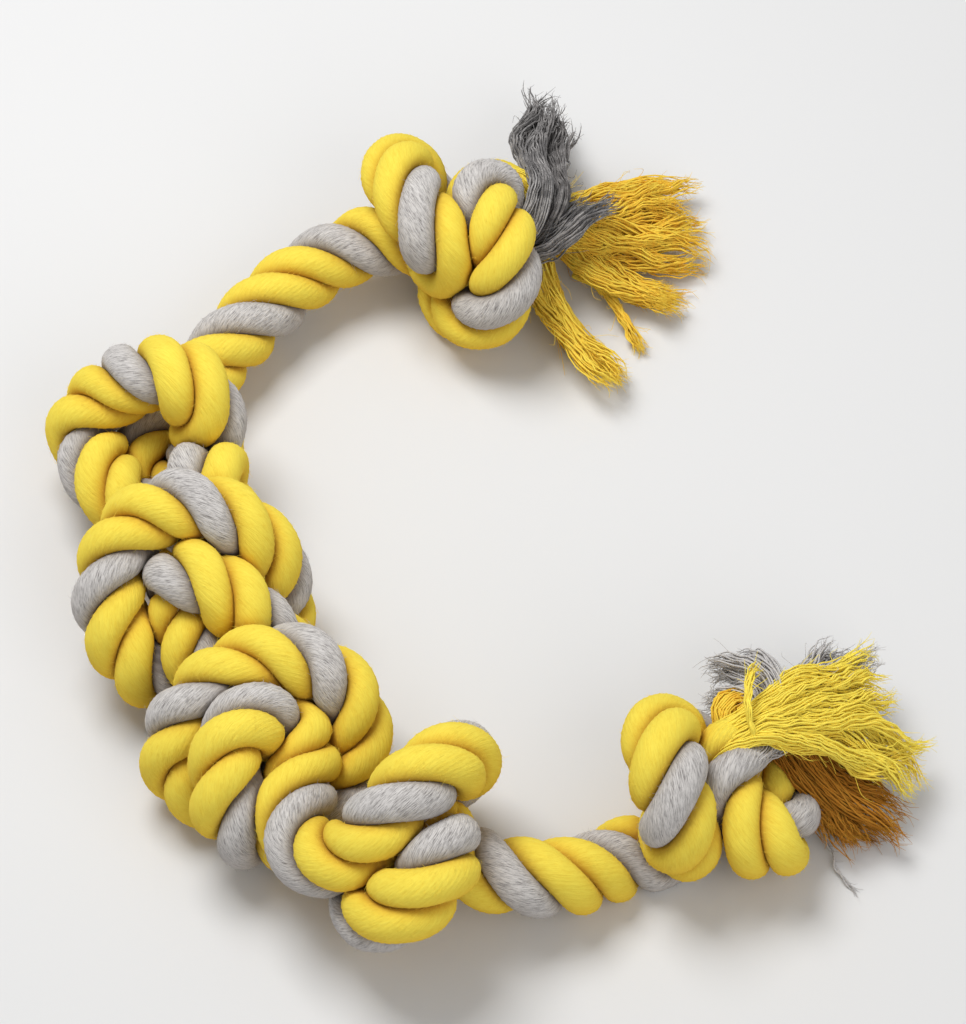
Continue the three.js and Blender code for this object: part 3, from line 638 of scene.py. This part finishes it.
def rolled_tube(name, rings, v_start, v_end, masks):
    """A closed tube: a flat grid, rolled onto the rings, welded along its seam and capped."""
    count, sides = rings.shape[:2]
    bm = bmesh.new()
    bm.loops.layers.uv.new("UVMap")
    bmesh.ops.create_grid(bm, x_segments=sides, y_segments=count - 1, size=0.5, calc_uvs=True)
    mesh = bpy.data.meshes.new(name)
    bm.to_mesh(mesh)
    flat = np.zeros(len(mesh.vertices) * 3)
    mesh.vertices.foreach_get("co", flat)
    flat = flat.reshape(-1, 3)
    side = np.rint((flat[:, 0] + 0.5) * sides).astype(int)
    ring = np.rint((flat[:, 1] + 0.5) * (count - 1)).astype(int)
    mesh.vertices.foreach_set("co", rings[ring, side % sides].ravel())
    for key, values in masks.items():
        set_mask(mesh, key, values[ring, side % sides])
    uv = np.zeros(len(mesh.loops) * 2)
    layer = mesh.uv_layers["UVMap"].data
    layer.foreach_get("uv", uv)
    uv[1::2] = v_start + (v_end - v_start) * uv[1::2]
    layer.foreach_set("uv", uv)
    bm.clear()
    bm.from_mesh(mesh)
    seam = [vert for vert, k in zip(bm.verts, side) if k in (0, sides)]
    bmesh.ops.remove_doubles(bm, verts=seam, dist=1e-6)
    rims = [edge for edge in bm.edges if edge.is_boundary]
    bmesh.ops.holes_fill(bm, edges=rims, sides=0)
    bmesh.ops.recalc_face_normals(bm, faces=bm.faces)
    for face in bm.faces:
        face.smooth = len(face.verts) == 4
    bm.to_mesh(mesh)
    bm.free()
    return new_object(name, mesh)


def new_object(name, data):
    obj = bpy.data.objects.new(name, data)
    bpy.context.scene.collection.objects.link(obj)
    return obj


def threads(name, lines, radii, tones_and_shades):
    """Many thin threads in one mesh. Each line is an array of points, with a radius at each.

    Each point has its darkness, from 0 for the palest, partly random and partly painted shade.
    """
    curve = bpy.data.curves.new(name, "CURVE")
    curve.dimensions = "3D"
    curve.bevel_depth = 1
    curve.bevel_resolution = 0
    for line, radius in zip(lines, radii):
        spline = curve.splines.new("POLY")
        spline.points.add(len(line) - 1)
        spline.points.foreach_set("co", np.column_stack([line, np.ones(len(line))]).ravel())
        spline.points.foreach_set("radius", radius)
        spline.use_smooth = True
    shaped = new_object(name + "_line", curve)
    mesh = bpy.data.meshes.new_from_object(shaped)
    bpy.data.objects.remove(shaped)
    bpy.data.curves.remove(curve)
    mesh.name = name
    bm = bmesh.new()
    bm.from_mesh(mesh)
    bmesh.ops.holes_fill(bm, edges=[edge for edge in bm.edges if edge.is_boundary], sides=0)
    bm.to_mesh(mesh)
    bm.free()
    sides = len(mesh.vertices) // sum(len(line) for line in lines)
    set_mask(mesh, "tone", np.repeat(np.concatenate(tones_and_shades), sides))
    return new_object(name, mesh)


# Materials

# How much the dark fibres show, and how far the fibres stand out
FLECKS = {"grey": {"Laid": 0.75, "Loose": 0.35}, "yellow": {"Laid": 0.4, "Loose": 0.15}}
BUMPS = {"Laid": 0.8, "Loose": 0.3}


def wired(group, kind, inputs, **settings):
    """A node with its settings, and its inputs linked or set."""
    node = group.nodes.new(kind)
    for key, value in settings.items():
        setattr(node, key, value)
    for key, value in inputs.items():
        if isinstance(value, bpy.types.NodeSocket):
            group.links.new(value, node.inputs[key])
        else:
            node.inputs[key].default_value = value
    return node


def cotton_group():
    """Colour and height of cotton fibres, streaked along the yarns, with painted shade round and in
    the creases.
    """
    name = "Cotton Fibres"
    if name in bpy.data.node_groups:
        return bpy.data.node_groups[name]
    group = bpy.data.node_groups.new(name, "ShaderNodeTree")
    for way, kind, labels in (
            ("INPUT", "Vector", ("Place",)),
            ("INPUT", "Color", ("Light", "Dark", "Warm", "Deep")),
            ("INPUT", "Float", ("Crease", "Fold", "Fleck", "Tone")),
            ("INPUT", "Float", ("Fibre Width", "Fibre Length")),
            ("OUTPUT", "Color", ("Colour",)),
            ("OUTPUT", "Float", ("Height",))):
        for label in labels:
            group.interface.new_socket(label, in_out=way, socket_type="NodeSocket" + kind)
    given = group.nodes.new("NodeGroupInput").outputs
    size = wired(group, "ShaderNodeCombineXYZ",
                 {"X": given["Fibre Width"], "Y": given["Fibre Length"], "Z": 1.0})

    def noise(scale, detail):
        grown = wired(group, "ShaderNodeVectorMath", {0: size.outputs[0], "Scale": scale},
                      operation="SCALE")
        place = wired(group, "ShaderNodeVectorMath", {0: given["Place"], 1: grown.outputs[0]},
                      operation="MULTIPLY")
        return wired(group, "ShaderNodeTexNoise",
                     {"Vector": place.outputs[0], "Scale": 1.0, "Detail": detail,
                      "Roughness": 0.6}).outputs["Fac"]

    def maths(operation, first, second):
        inputs = {0: first, 1: second}
        return wired(group, "ShaderNodeMath", inputs, operation=operation).outputs[0]

    def spread(value, low, high):
        return wired(group, "ShaderNodeMapRange",
                     {"Value": value, "From Min": low, "From Max": high},
                     interpolation_type="SMOOTHSTEP").outputs["Result"]

    def mixed(share, first, second):
        return wired(group, "ShaderNodeMix", {"Factor": share, "A": first, "B": second},
                     data_type="RGBA").outputs["Result"]

    fine = noise(scale=2.4, detail=3.0)
    streaks = noise(scale=1.0, detail=2.0)
    patches = noise(scale=0.14, detail=2.0)
    both = maths("MULTIPLY", maths("ADD", fine, streaks), 0.5)
    dark = maths("SUBTRACT", 1.0, spread(both, low=0.36, high=0.56))
    uneven = maths("MULTIPLY", spread(patches, low=0.3, high=0.7), 0.5)
    uneven = maths("ADD", uneven, 0.5)
    uneven = maths("MULTIPLY", uneven, given["Tone"])
    share = maths("ADD", maths("MULTIPLY", dark, given["Fleck"]), uneven)
    colour = mixed(maths("MINIMUM", share, 1.0), given["Light"], given["Dark"])
    # Painted shade: the soft shade colour over the band round a crease and on undersides, then the
    # dark shade colour in the creases and in the darkest tassel yarns
    for mask, strength, dye in (("Fold", 0.75, "Warm"), ("Crease", 0.85, "Deep")):
        depth = maths("MULTIPLY", maths("POWER", given[mask], 1.6), strength)
        colour = mixed(depth, colour, given[dye])
    out = group.nodes.new("NodeGroupOutput")
    group.links.new(colour, out.inputs["Colour"])
    group.links.new(both, out.inputs["Height"])
    return group


def cotton(name, colours, fleck, bump, laid):
    """Soft matt cotton. On laid strands the fibres follow the yarns, by the strand's own map."""
    light, dark, soft_shade_colour, dark_shade_colour = colours
    material = bpy.data.materials.new(name)
    material.use_nodes = True
    tree = material.node_tree
    shader = tree.nodes["Principled BSDF"]
    for key, value in (("Roughness", 0.95), ("Specular IOR Level", 0.12), ("Sheen Weight", 0.35),
                       ("Sheen Roughness", 0.6), ("Sheen Tint", (*light, 1))):
        shader.inputs[key].default_value = value
    inputs = {"Light": (*light, 1), "Dark": (*dark, 1), "Warm": (*soft_shade_colour, 1), "Deep": (*dark_shade_colour, 1),
              "Fleck": fleck}

    def mask(key):
        return wired(tree, "ShaderNodeAttribute", {}, attribute_name=key).outputs["Fac"]

    if laid:
        place = wired(tree, "ShaderNodeUVMap", {}, uv_map="UVMap").outputs["UV"]
        inputs.update({"Place": place, "Crease": mask("crease"), "Fold": mask("fold"),
                       "Tone": 0.25, "Fibre Width": 120.0, "Fibre Length": 220.0})
    else:
        place = wired(tree, "ShaderNodeTexCoord", {}).outputs["Object"]
        # Painted shade: the darkest loose yarns, low in a hank and in the darkest hanks, also take
        # the dark shade colour
        tone = mask("tone")
        inner = wired(tree, "ShaderNodeMapRange",
                      {"Value": tone, "From Min": 0.7, "From Max": 1.4})
        inputs.update({"Place": place, "Tone": tone, "Crease": inner.outputs["Result"],
                       "Fibre Width": 900.0, "Fibre Length": 900.0})
    fibres = wired(tree, "ShaderNodeGroup", inputs, node_tree=cotton_group())
    relief = wired(tree, "ShaderNodeBump", {"Strength": bump, "Distance": 0.0008,
                                            "Height": fibres.outputs["Height"]})
    tree.links.new(fibres.outputs["Colour"], shader.inputs["Base Color"])
    tree.links.new(relief.outputs["Normal"], shader.inputs["Normal"])
    return material


# Settings

def tint(name, description, default):
    return FloatVectorProperty(name=name, description=description, default=default,
                               subtype="COLOR")


class ROPETOY_PG_settings(bpy.types.PropertyGroup):
    """Sizes and colours of the yarn, the fuzz and the tassels."""

    strand_radius: FloatProperty(name="Strand Radius", description="Radius of a plump strand",
                                 default=0.0104, unit="LENGTH")
    yarns: IntProperty(name="Yarns", description="Yarns round the skin of a strand", default=24)
    yarn_relief: FloatProperty(name="Yarn Relief", description="How far a yarn stands out",
                               default=0.00013, unit="LENGTH")
    tassel_yarns: IntProperty(name="Tassel Yarns", description="Yarns in each hank", default=216)
    tassel_yarn_radius: FloatProperty(name="Tassel Yarn Radius", description="Radius of a yarn",
                                      default=0.00052, unit="LENGTH")
    fuzz_count: IntProperty(name="Fuzz", description="Stray fibres on all strands", default=18000)
    fuzz_length: FloatProperty(name="Fuzz Length", description="Longest stray fibre",
                               default=0.0034, unit="LENGTH")
    yellow_light: tint("Yellow", "Yellow cotton in light", (0.97, 0.81, 0.11))
    yellow_dark: tint("Yellow Fibres", "Darker yellow fibres", (0.8, 0.53, 0.035))
    # Painted shade: the yellow mixed in beside the creases and on undersides, and the yellow in the
    # creases
    yellow_soft_shade_colour: tint("Yellow Folds", "Yellow beside the creases", (0.8, 0.42, 0.022))
    yellow_dark_shade_colour: tint("Yellow Creases", "Yellow in the creases", (0.37, 0.13, 0.02))
    yellow_loose: tint("Loose Yellow", "Yellow yarn of a tassel", (1.0, 0.84, 0.12))
    # The darker loose yellow stands for dark fibres, random darker yarn and painted shade in a
    # tassel
    yellow_loose_dark_and_shade: tint("Loose Yellow, Dark", "Darker yellow yarn of a tassel",
                            (0.86, 0.4, 0.02))
    grey_light: tint("Grey", "Pale grey fibres", (0.78, 0.75, 0.725))
    grey_dark: tint("Grey Fibres", "Dark grey fibres", (0.16, 0.145, 0.14))
    # Painted shade: the grey mixed in beside the creases and on undersides, and the grey in the
    # creases
    grey_soft_shade_colour: tint("Grey Folds", "Grey beside the creases", (0.36, 0.32, 0.29))
    grey_dark_shade_colour: tint("Grey Creases", "Grey in the creases", (0.085, 0.065, 0.055))
    grey_loose: tint("Loose Grey", "Grey yarn of a tassel", (0.66, 0.635, 0.62))
    # The darker loose grey stands for dark fibres, random darker yarn and painted shade in a tassel
    grey_loose_dark_and_shade: tint("Loose Grey, Dark", "Darker grey yarn of a tassel",
                          (0.1, 0.098, 0.1))
    floor_colour: tint("Floor", "Plain pale floor", (0.72, 0.72, 0.72))


def cottons(settings, laid):
    """The cottons by slot: of laid strands, or of loose yarn and stray fibres."""
    kind = "Laid" if laid else "Loose"
    light, dark = ("light", "dark") if laid else ("loose", "loose_dark_and_shade")
    made = {}
    for dye, flecks in FLECKS.items():
        colours = [getattr(settings, f"{dye}_{shade}") for shade in (light, dark, "soft_shade_colour", "dark_shade_colour")]
        made[dye + "_cotton"] = cotton(f"{kind} {dye.title()} Cotton", colours, flecks[kind],
                                       BUMPS[kind], laid)
    return made


ROPE = laid_rope()
STRAND_RINGS = {}


def carry(piece, bodies):
    """Makes a piece move with its body. A piece across two bodies is only baked in place,
    unattached.
    """
    if len(bodies) == 1:
        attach(piece, bodies[0])
        return
    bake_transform(piece)


def skin(line, frame, reach, crease, relief, rng):
    """The rings of a strand's skin, and which way each side of it faces.

    Its yarns stand out as ridges. Outside the creases it is lumpy, and it closes at both ends.
    """
    _, across, third = frame
    sides = reach.shape[1]
    angles = TURN * np.arange(sides) / sides
    ridge = np.cos(TURN * np.arange(sides) / SIDES_PER_YARN) * relief
    from_start = np.arange(len(line)) * RING_STEP
    knobs = rng.normal(size=(len(line) // round(LUMP_LENGTH / RING_STEP) + 2, LUMP_WAVES))
    spots = from_start / LUMP_LENGTH
    lumps = sum(np.interp(spots, np.arange(len(knobs)), knobs[:, k])[:, None]
                * np.cos((k + 1) // 2 * angles + k) for k in range(LUMP_WAVES))
    from_end = np.minimum(from_start, from_start[::-1])
    loosened = 1 + LOOSE_RELIEF * np.maximum(1 - from_end / LOOSENING, 0)
    from_end = np.minimum(from_end / OPENING, 1)
    closing = OPEN_END_SHARE + (1 - OPEN_END_SHARE) * np.sqrt(from_end * (2 - from_end))
    out = reach * (1 + LUMP_SHARE * lumps / 3 * (1 - crease)) * closing[:, None]
    out += ridge * (1 - crease) * loosened[:, None]
    ways = ways_round(across, third, angles + YARN_TWIST * from_start[:, None])
    return kept_above(line[:, None] + out[..., None] * ways, SKIN_FLOOR), ways


class ROPETOY_OT_strands(bpy.types.Operator):
    """Make the three strands of the rope"""

    bl_idname = "rope_toy.strands"
    bl_label = "Rope Strands"

    def execute(self, context):
        settings = context.scene.rope_toy
        sides = settings.yarns * SIDES_PER_YARN
        routes = [through(route, SPAN_STEPS) for route in ROPE["strands"]]
        lines = [evenly_spaced(route, RING_STEP) for route in routes]
        frames = [frames_along(line) for line in lines]
        reaches = pressed_reaches(lines, frames, settings.strand_radius, sides)
        rng = np.random.default_rng(7)
        materials = cottons(settings, laid=True)
        for number, (strand, slot) in enumerate(zip(STRANDS, SLOTS)):
            line, (reach, crease, fold) = lines[number], reaches[number]
            rings, ways = skin(line, frames[number], reach, crease, settings.yarn_relief, rng)
            # Painted shade on the undersides: sides that face down take the soft shade too
            fold = np.maximum(fold, np.clip(UNDERSIDE_SHADE - ways[..., 2], 0, 1))
            rows = lengths_along(routes[number])[::SPAN_STEPS]
            rows = (rows / rows[-1] * (len(line) - 1) + 0.5).astype(int)
            for name, bodies, first_section, last_section in LENGTHS:
                first = rows[ROPE["sections"][first_section][0]]
                last = rows[ROPE["sections"][last_section][1]]
                span = slice(first, last + 1)
                masks = {"crease": crease[span], "fold": fold[span]}
                piece = rolled_tube(f"{strand}_{name}", rings[span], first * RING_STEP,
                                    last * RING_STEP, masks)
                piece.data.materials.append(materials[slot])
                carry(piece, bodies)
                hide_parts(*[f"{section}_{strand}"
                                     for section in between(first_section, last_section)])
                path = line[span]
                STRAND_RINGS[piece.name] = (rings[span], path, bodies, first_section, slot,
                                            reach[span])
        return {"FINISHED"}


def routed(shares):
    """A hank's route, given in rope diameters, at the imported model's place."""
    return [placed(share) + ROPE["shift"] for share in shares]


def between(first, last):
    """The sections from first to last."""
    names = list(ROPE["sections"])
    return names[names.index(first):names.index(last) + 1]


def laid_clear(spines, obstacles):
    """Moves the hanks' lines off the strands and off each other, and smooths them."""
    def move_off(point, others, clearance):
        for other in others[np.linalg.norm(others - point, axis=1) < clearance]:
            apart = point - other
            length = np.linalg.norm(apart)
            if length < clearance:
                point += apart * (clearance - length) / (2 * length)

    for _ in range(HANK_ROUNDS):
        for number, spine in enumerate(spines):
            others = np.vstack([own for other, own in enumerate(spines) if other != number])
            for point in spine[2:]:
                move_off(point, obstacles[number], STRAND_RADIUS + HANK_CLEAR)
                move_off(point, others, HANK_APART)
                point[2] = max(point[2], HANK_FLOOR)
            for i in range(2, len(spine) - 1):
                spine[i] += STRAND_FAIRING * ((spine[i - 1] + spine[i + 1]) / 2 - spine[i])


def hank_spines():
    """The hanks' middle lines, each from inside its strand's end to its tip."""
    spines = []
    obstacles = []
    roots = []
    for _, end, strand, side, _, shares in HANKS:
        route = ROPE["strands"][strand] if end else ROPE["strands"][strand][::-1]
        along, _, third = (axis[-1] for axis in frames_along(route[-2:]))
        start = route[-1] + LENGTH_GAP * along + third * side * STRAND_RADIUS / 2
        controls = [start, start + along * HANK_ROOT_SHARE * ROPE_DIAMETER]
        controls += routed(shares)
        spines.append(spaced(through(controls), HANK_RINGS))
        others = [own for number, own in enumerate(ROPE["strands"]) if number != strand]
        obstacles.append(np.vstack(others + [route[:-2]]))
        lengths = lengths_along(route)
        inside = at_lengths(route, lengths[-1] - OPENING * np.array([1, 0.5]))
        roots.append(inside + third * side * STRAND_RADIUS / 2)
    laid_clear(spines, obstacles)
    return [spaced(through([*root, *spine]), HANK_STEPS) for root, spine in zip(roots, spines)]


def wander(rng, lengths, shortest, longest):
    """A smooth random course between about -1 and 1."""
    waves = [np.sin(TURN * lengths / rng.uniform(shortest, longest)
                    + rng.uniform(0, TURN)) for _ in range(3)]
    return sum(waves) / 2


def lock_yarns(spine, lift, swing, lock_radius, count, rng):
    """The yarns of one lock, which share its crimp.

    With each comes how far it rises off the spine.
    """
    _, across, third = frames_along(spine)
    lengths = lengths_along(spine)
    share = lengths / lengths[-1]
    crimp_length = rng.uniform(*CRIMP_LENGTHS)
    crimp_start = rng.uniform(0, TURN)
    lean = rng.uniform(0, TURN)
    hand = rng.choice((-1, 1))
    lock_share = rng.uniform(*LOCK_REACHES)
    yarns = []
    for yarn in range(count):
        place = lock_radius * math.sqrt((yarn + 0.5) / count)
        place = place * (LOCK_ROOT_SHARE + LOCK_GAIN * share)
        turn = yarn * GOLDEN_ANGLE + TURN * lengths / LOCK_PITCH * hand
        phase = TURN * lengths / crimp_length + crimp_start
        phase += rng.normal() * CRIMP_SHIFT
        turned = lean + rng.normal() * CRIMP_TURN
        size = CRIMP * rng.uniform(*CRIMP_SIZES) * np.minimum(share / CRIMP_GROWTH_SHARE, 1)
        drift = DRIFT * share * wander(rng, lengths, *DRIFT_LENGTHS)
        up = lift + place * np.cos(turn) + size * np.cos(phase) * math.cos(turned) + drift
        out = swing + place * np.sin(turn) + size * np.cos(phase) * math.sin(turned) - drift
        line = spine + across * up[:, None] + third * out[:, None]
        if rng.uniform() > SHORT_YARNS:
            reach = lock_share * rng.uniform(LONG_YARN_SHARE, 1)
        else:
            reach = rng.uniform(SHORT_YARN_SHARE, LONG_YARN_SHARE)
        line = kept_above(spaced(line, HANK_STEPS, reach), YARN_FLOOR)
        yarns.append((line, (across[:, 2] * up + third[:, 2] * out).mean()))
    return yarns


def hank_yarns(spine, count, rng):
    """The yarns of one hank. They keep the crimp of the strand in loose locks, and fan out.

    With each comes how low it lies in the hank, from 0 at the top to 1.
    """
    lengths = lengths_along(spine)
    share = lengths / lengths[-1]
    stations = (0, OPENING / lengths[-1], WIDENING_SHARE, 1)
    wide = np.interp(share, stations, HANK_WIDTH_SHARES) * ROPE_DIAMETER - LOCK_RADIUS / 2
    thick = np.interp(share, stations, HANK_THICKNESS_SHARES) * ROPE_DIAMETER - LOCK_RADIUS / 2
    yarns = []
    depths = []
    for lock in range(LOCKS):
        spot = math.sqrt((lock + 0.5) / LOCKS)
        angle = lock * GOLDEN_ANGLE + rng.uniform(-LOCK_TURN, LOCK_TURN)
        sway = LOCK_SWAY_SHARE * share
        lift = thick * (spot * math.cos(angle) + sway * wander(rng, lengths, *LOCK_SWAY_LENGTHS))
        swing = wide * (spot * math.sin(angle) + sway * wander(rng, lengths, *LOCK_SWAY_LENGTHS))
        for line, rise in lock_yarns(spine, lift, swing, LOCK_RADIUS, count // LOCKS, rng):
            yarns.append(line)
            depths.append(min(max(0.5 - 0.5 * rise / (thick.mean() + LOCK_RADIUS), 0), 1))
    return yarns, depths


def frayed(line, rng):
    """Short fine fibres that a yarn's cut end splits into."""
    tip = line[-1]
    ahead = unit(line[-1] - line[-3])
    fibres = []
    for _ in range(FRAY_FIBRES):
        sideways = square_to(rng.normal(size=3), ahead)
        reach = rng.uniform(*FRAY_LENGTHS)
        end = tip + ahead * reach + sideways * reach * FRAY_SPREAD
        bend = tip + ahead * reach * 0.5 + sideways * reach * FRAY_BEND
        fibres.append(kept_above(np.array([tip - ahead * FRAY_ROOT, bend, end]), FIBRE_FLOOR))
    return fibres


def stray(line, rng):
    """A thin fibre that leaves the side of a yarn and curls."""
    i = rng.integers(len(line) // 4, len(line) - STRAY_STEPS - 2)
    start, ahead = line[i], line[i + STRAY_STEPS] - line[i]
    sideways = rng.normal(size=3) * STRAY_BEND
    points = [start, start + ahead * 0.5 + sideways, start + ahead + sideways * STRAY_SPREAD]
    onward = ahead * rng.uniform(*STRAY_REACHES)
    points.append(points[-1] + onward + rng.normal(size=3) * STRAY_CURL)
    return kept_above(through(points, 3), FIBRE_FLOOR)


class ROPETOY_OT_tassels(bpy.types.Operator):
    """Make the hanks of loose yarn at both ends"""

    bl_idname = "rope_toy.tassels"
    bl_label = "Tassels"

    def execute(self, context):
        settings = context.scene.rope_toy
        rng = np.random.default_rng(11)
        materials = cottons(settings, laid=False)
        radius = settings.tassel_yarn_radius
        for (name, end, strand, _, shade, _), spine in zip(HANKS, hank_spines()):
            yarns, depths = hank_yarns(spine, settings.tassel_yarns, rng)
            for owner, count, lock_radius, shares in THIN_LOCKS:
                if owner == name:
                    line = spaced(through(routed(shares)), HANK_STEPS)
                    yarns += [yarn for yarn, _ in lock_yarns(line, 0, 0, lock_radius, count, rng)]
                    depths += [THIN_LOCK_DEPTH] * count
            tip = HANK_STEPS - 1
            taper = np.interp(np.arange(HANK_STEPS), (tip - YARN_TIP_STEPS, tip),
                              (1, YARN_TIP_SHARE))
            sizes = [radius * taper * rng.uniform(*YARN_SIZES) for _ in yarns]
            # Painted shade: each hank darkens by its own amount from root to middle, and yarns low
            # in it darker still; the random part varies yarn to yarn
            taken_on = np.minimum(np.linspace(0, 1, HANK_STEPS) / TONE_AND_SHADE_SHARE, 1)
            darkening = shade * taken_on ** TONE_AND_SHADE_POWER
            tones_and_shades = [darkening + LOW_SHADE * max(depth - HIGH_SHARE, 0)
                     + RANDOM_TONE * rng.uniform() for depth in depths]
            fibres = [(fibre, tone) for yarn, tone in zip(yarns, tones_and_shades)
                      for fibre in frayed(yarn, rng)]
            fibres += [(stray(yarn, rng), tone) for yarn, tone in zip(yarns[::2], tones_and_shades[::2])]
            lines = yarns + [fibre for fibre, _ in fibres]
            sizes += [np.linspace(*FRAY_RADII, len(fibre)) for fibre, _ in fibres]
            tones_and_shades += [np.full(len(fibre), tone[-1]) for fibre, tone in fibres]
            piece = threads(name + "_yarns", lines, sizes, tones_and_shades)
            piece.data.materials.append(materials[SLOTS[strand]])
            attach(piece, "second_end" if end else "first_end")
            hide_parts(name)
        return {"FINISHED"}


class ROPETOY_OT_fuzz(bpy.types.Operator):
    """Make the stray fibres that stand off the strands"""

    bl_idname = "rope_toy.fuzz"
    bl_label = "Fuzz"

    def execute(self, context):
        settings = context.scene.rope_toy
        rng = np.random.default_rng(23)
        materials = cottons(settings, laid=False)
        whole = sum(len(rings) for rings, *_ in STRAND_RINGS.values())
        for name, (rings, path, bodies, section, slot, reach) in STRAND_RINGS.items():
            count = int(settings.fuzz_count * len(rings) / whole)
            lines = []
            while len(lines) < count:
                i = rng.integers(1, len(rings) - 1)
                k = rng.integers(rings.shape[1])
                if reach[i, k] < settings.strand_radius * OPEN_SKIN_SHARE:
                    continue
                out = unit(rings[i, k] - path[i])
                lean = square_to(rng.normal(size=3) * FUZZ_LEAN, out)
                reach_out = settings.fuzz_length * rng.uniform(*FUZZ_REACHES)
                start = rings[i, k] - out * FUZZ_ROOT
                middle = start + (out * 0.35 + lean * 0.5) * reach_out * 0.6
                end = start + (out * 0.5 + lean) * reach_out
                lines.append(kept_above(np.array([start, middle, end]), FUZZ_FLOOR))
            piece = threads(name + "_fuzz", lines, [np.array(FUZZ_RADII)] * count,
                            [np.full(3, tone) for tone in rng.uniform(*FUZZ_TONES, count)])
            piece.data.materials.append(materials[slot])
            carry(piece, bodies)
        return {"FINISHED"}


class ROPETOY_OT_stage(bpy.types.Operator):
    """Make the floor, the lamps and the camera"""

    bl_idname = "rope_toy.stage"
    bl_label = "Stage"

    def execute(self, context):
        scene = context.scene
        scene.view_settings.view_transform = "Standard"
        camera = bpy.data.cameras.new("camera")
        camera.sensor_width = SENSOR_WIDTH
        camera.lens = SENSOR_WIDTH * VIEW_DISTANCE / (PICTURE_HEIGHT * METRES_PER_PIXEL)
        camera.clip_end = FAR_CLIP
        holder = new_object("camera", camera)
        back = Vector((0, -math.cos(VIEW_ELEVATION), math.sin(VIEW_ELEVATION)))
        holder.location = Vector(VIEW_CENTRE) + back * VIEW_DISTANCE
        holder.rotation_euler = (math.pi / 2 - VIEW_ELEVATION, 0, 0)
        scene.camera = holder

        bm = bmesh.new()
        bmesh.ops.create_grid(bm, x_segments=1, y_segments=1, size=FLOOR_HALF_SIZE)
        mesh = bpy.data.meshes.new("floor")
        bm.to_mesh(mesh)
        bm.free()
        floor = new_object("floor", mesh)
        paint = bpy.data.materials.new("Pale Floor")
        paint.use_nodes = True
        shader = paint.node_tree.nodes["Principled BSDF"]
        shader.inputs["Base Color"].default_value = (*scene.rope_toy.floor_colour, 1)
        shader.inputs["Roughness"].default_value = 0.9
        shader.inputs["Specular IOR Level"].default_value = 0.1
        floor.data.materials.append(paint)

        for name, place, size, power in LAMPS:
            lamp = bpy.data.lights.new(name, "AREA")
            lamp.size = size
            lamp.energy = power
            stand = new_object(name, lamp)
            stand.location = place
            stand.rotation_euler = (-Vector(place)).to_track_quat("-Z", "Y").to_euler()
        world = bpy.data.worlds.new("studio")
        scene.world = world
        world.use_nodes = True
        backdrop = world.node_tree.nodes["Background"]
        backdrop.inputs["Color"].default_value = (1, 1, 1, 1)
        backdrop.inputs["Strength"].default_value = WORLD_STRENGTH
        return {"FINISHED"}


class ROPETOY_PT_panel(bpy.types.Panel):
    """Sidebar panel of the rope toy"""

    bl_idname = "ROPETOY_PT_panel"
    bl_label = "Rope Toy"
    bl_space_type = "VIEW_3D"
    bl_region_type = "UI"
    bl_category = "Rope Toy"

    def draw(self, context):
        settings = context.scene.rope_toy
        for key in settings.__annotations__:
            self.layout.prop(settings, key)
        for operator in OPERATORS:
            self.layout.operator(operator.bl_idname)


OPERATORS = (ROPETOY_OT_stage, ROPETOY_OT_strands, ROPETOY_OT_tassels, ROPETOY_OT_fuzz)
CLASSES = (ROPETOY_PG_settings, *OPERATORS, ROPETOY_PT_panel)


def register():
    for cls in CLASSES:
        bpy.utils.register_class(cls)
    bpy.types.Scene.rope_toy = PointerProperty(type=ROPETOY_PG_settings)


def unregister():
    del bpy.types.Scene.rope_toy
    for cls in reversed(CLASSES):
        bpy.utils.unregister_class(cls)


def main():
    register()
    bpy.ops.rope_toy.stage()
    bpy.ops.rope_toy.strands()
    bpy.ops.rope_toy.tassels()
    bpy.ops.rope_toy.fuzz()


if __name__ == "__main__":
    main()
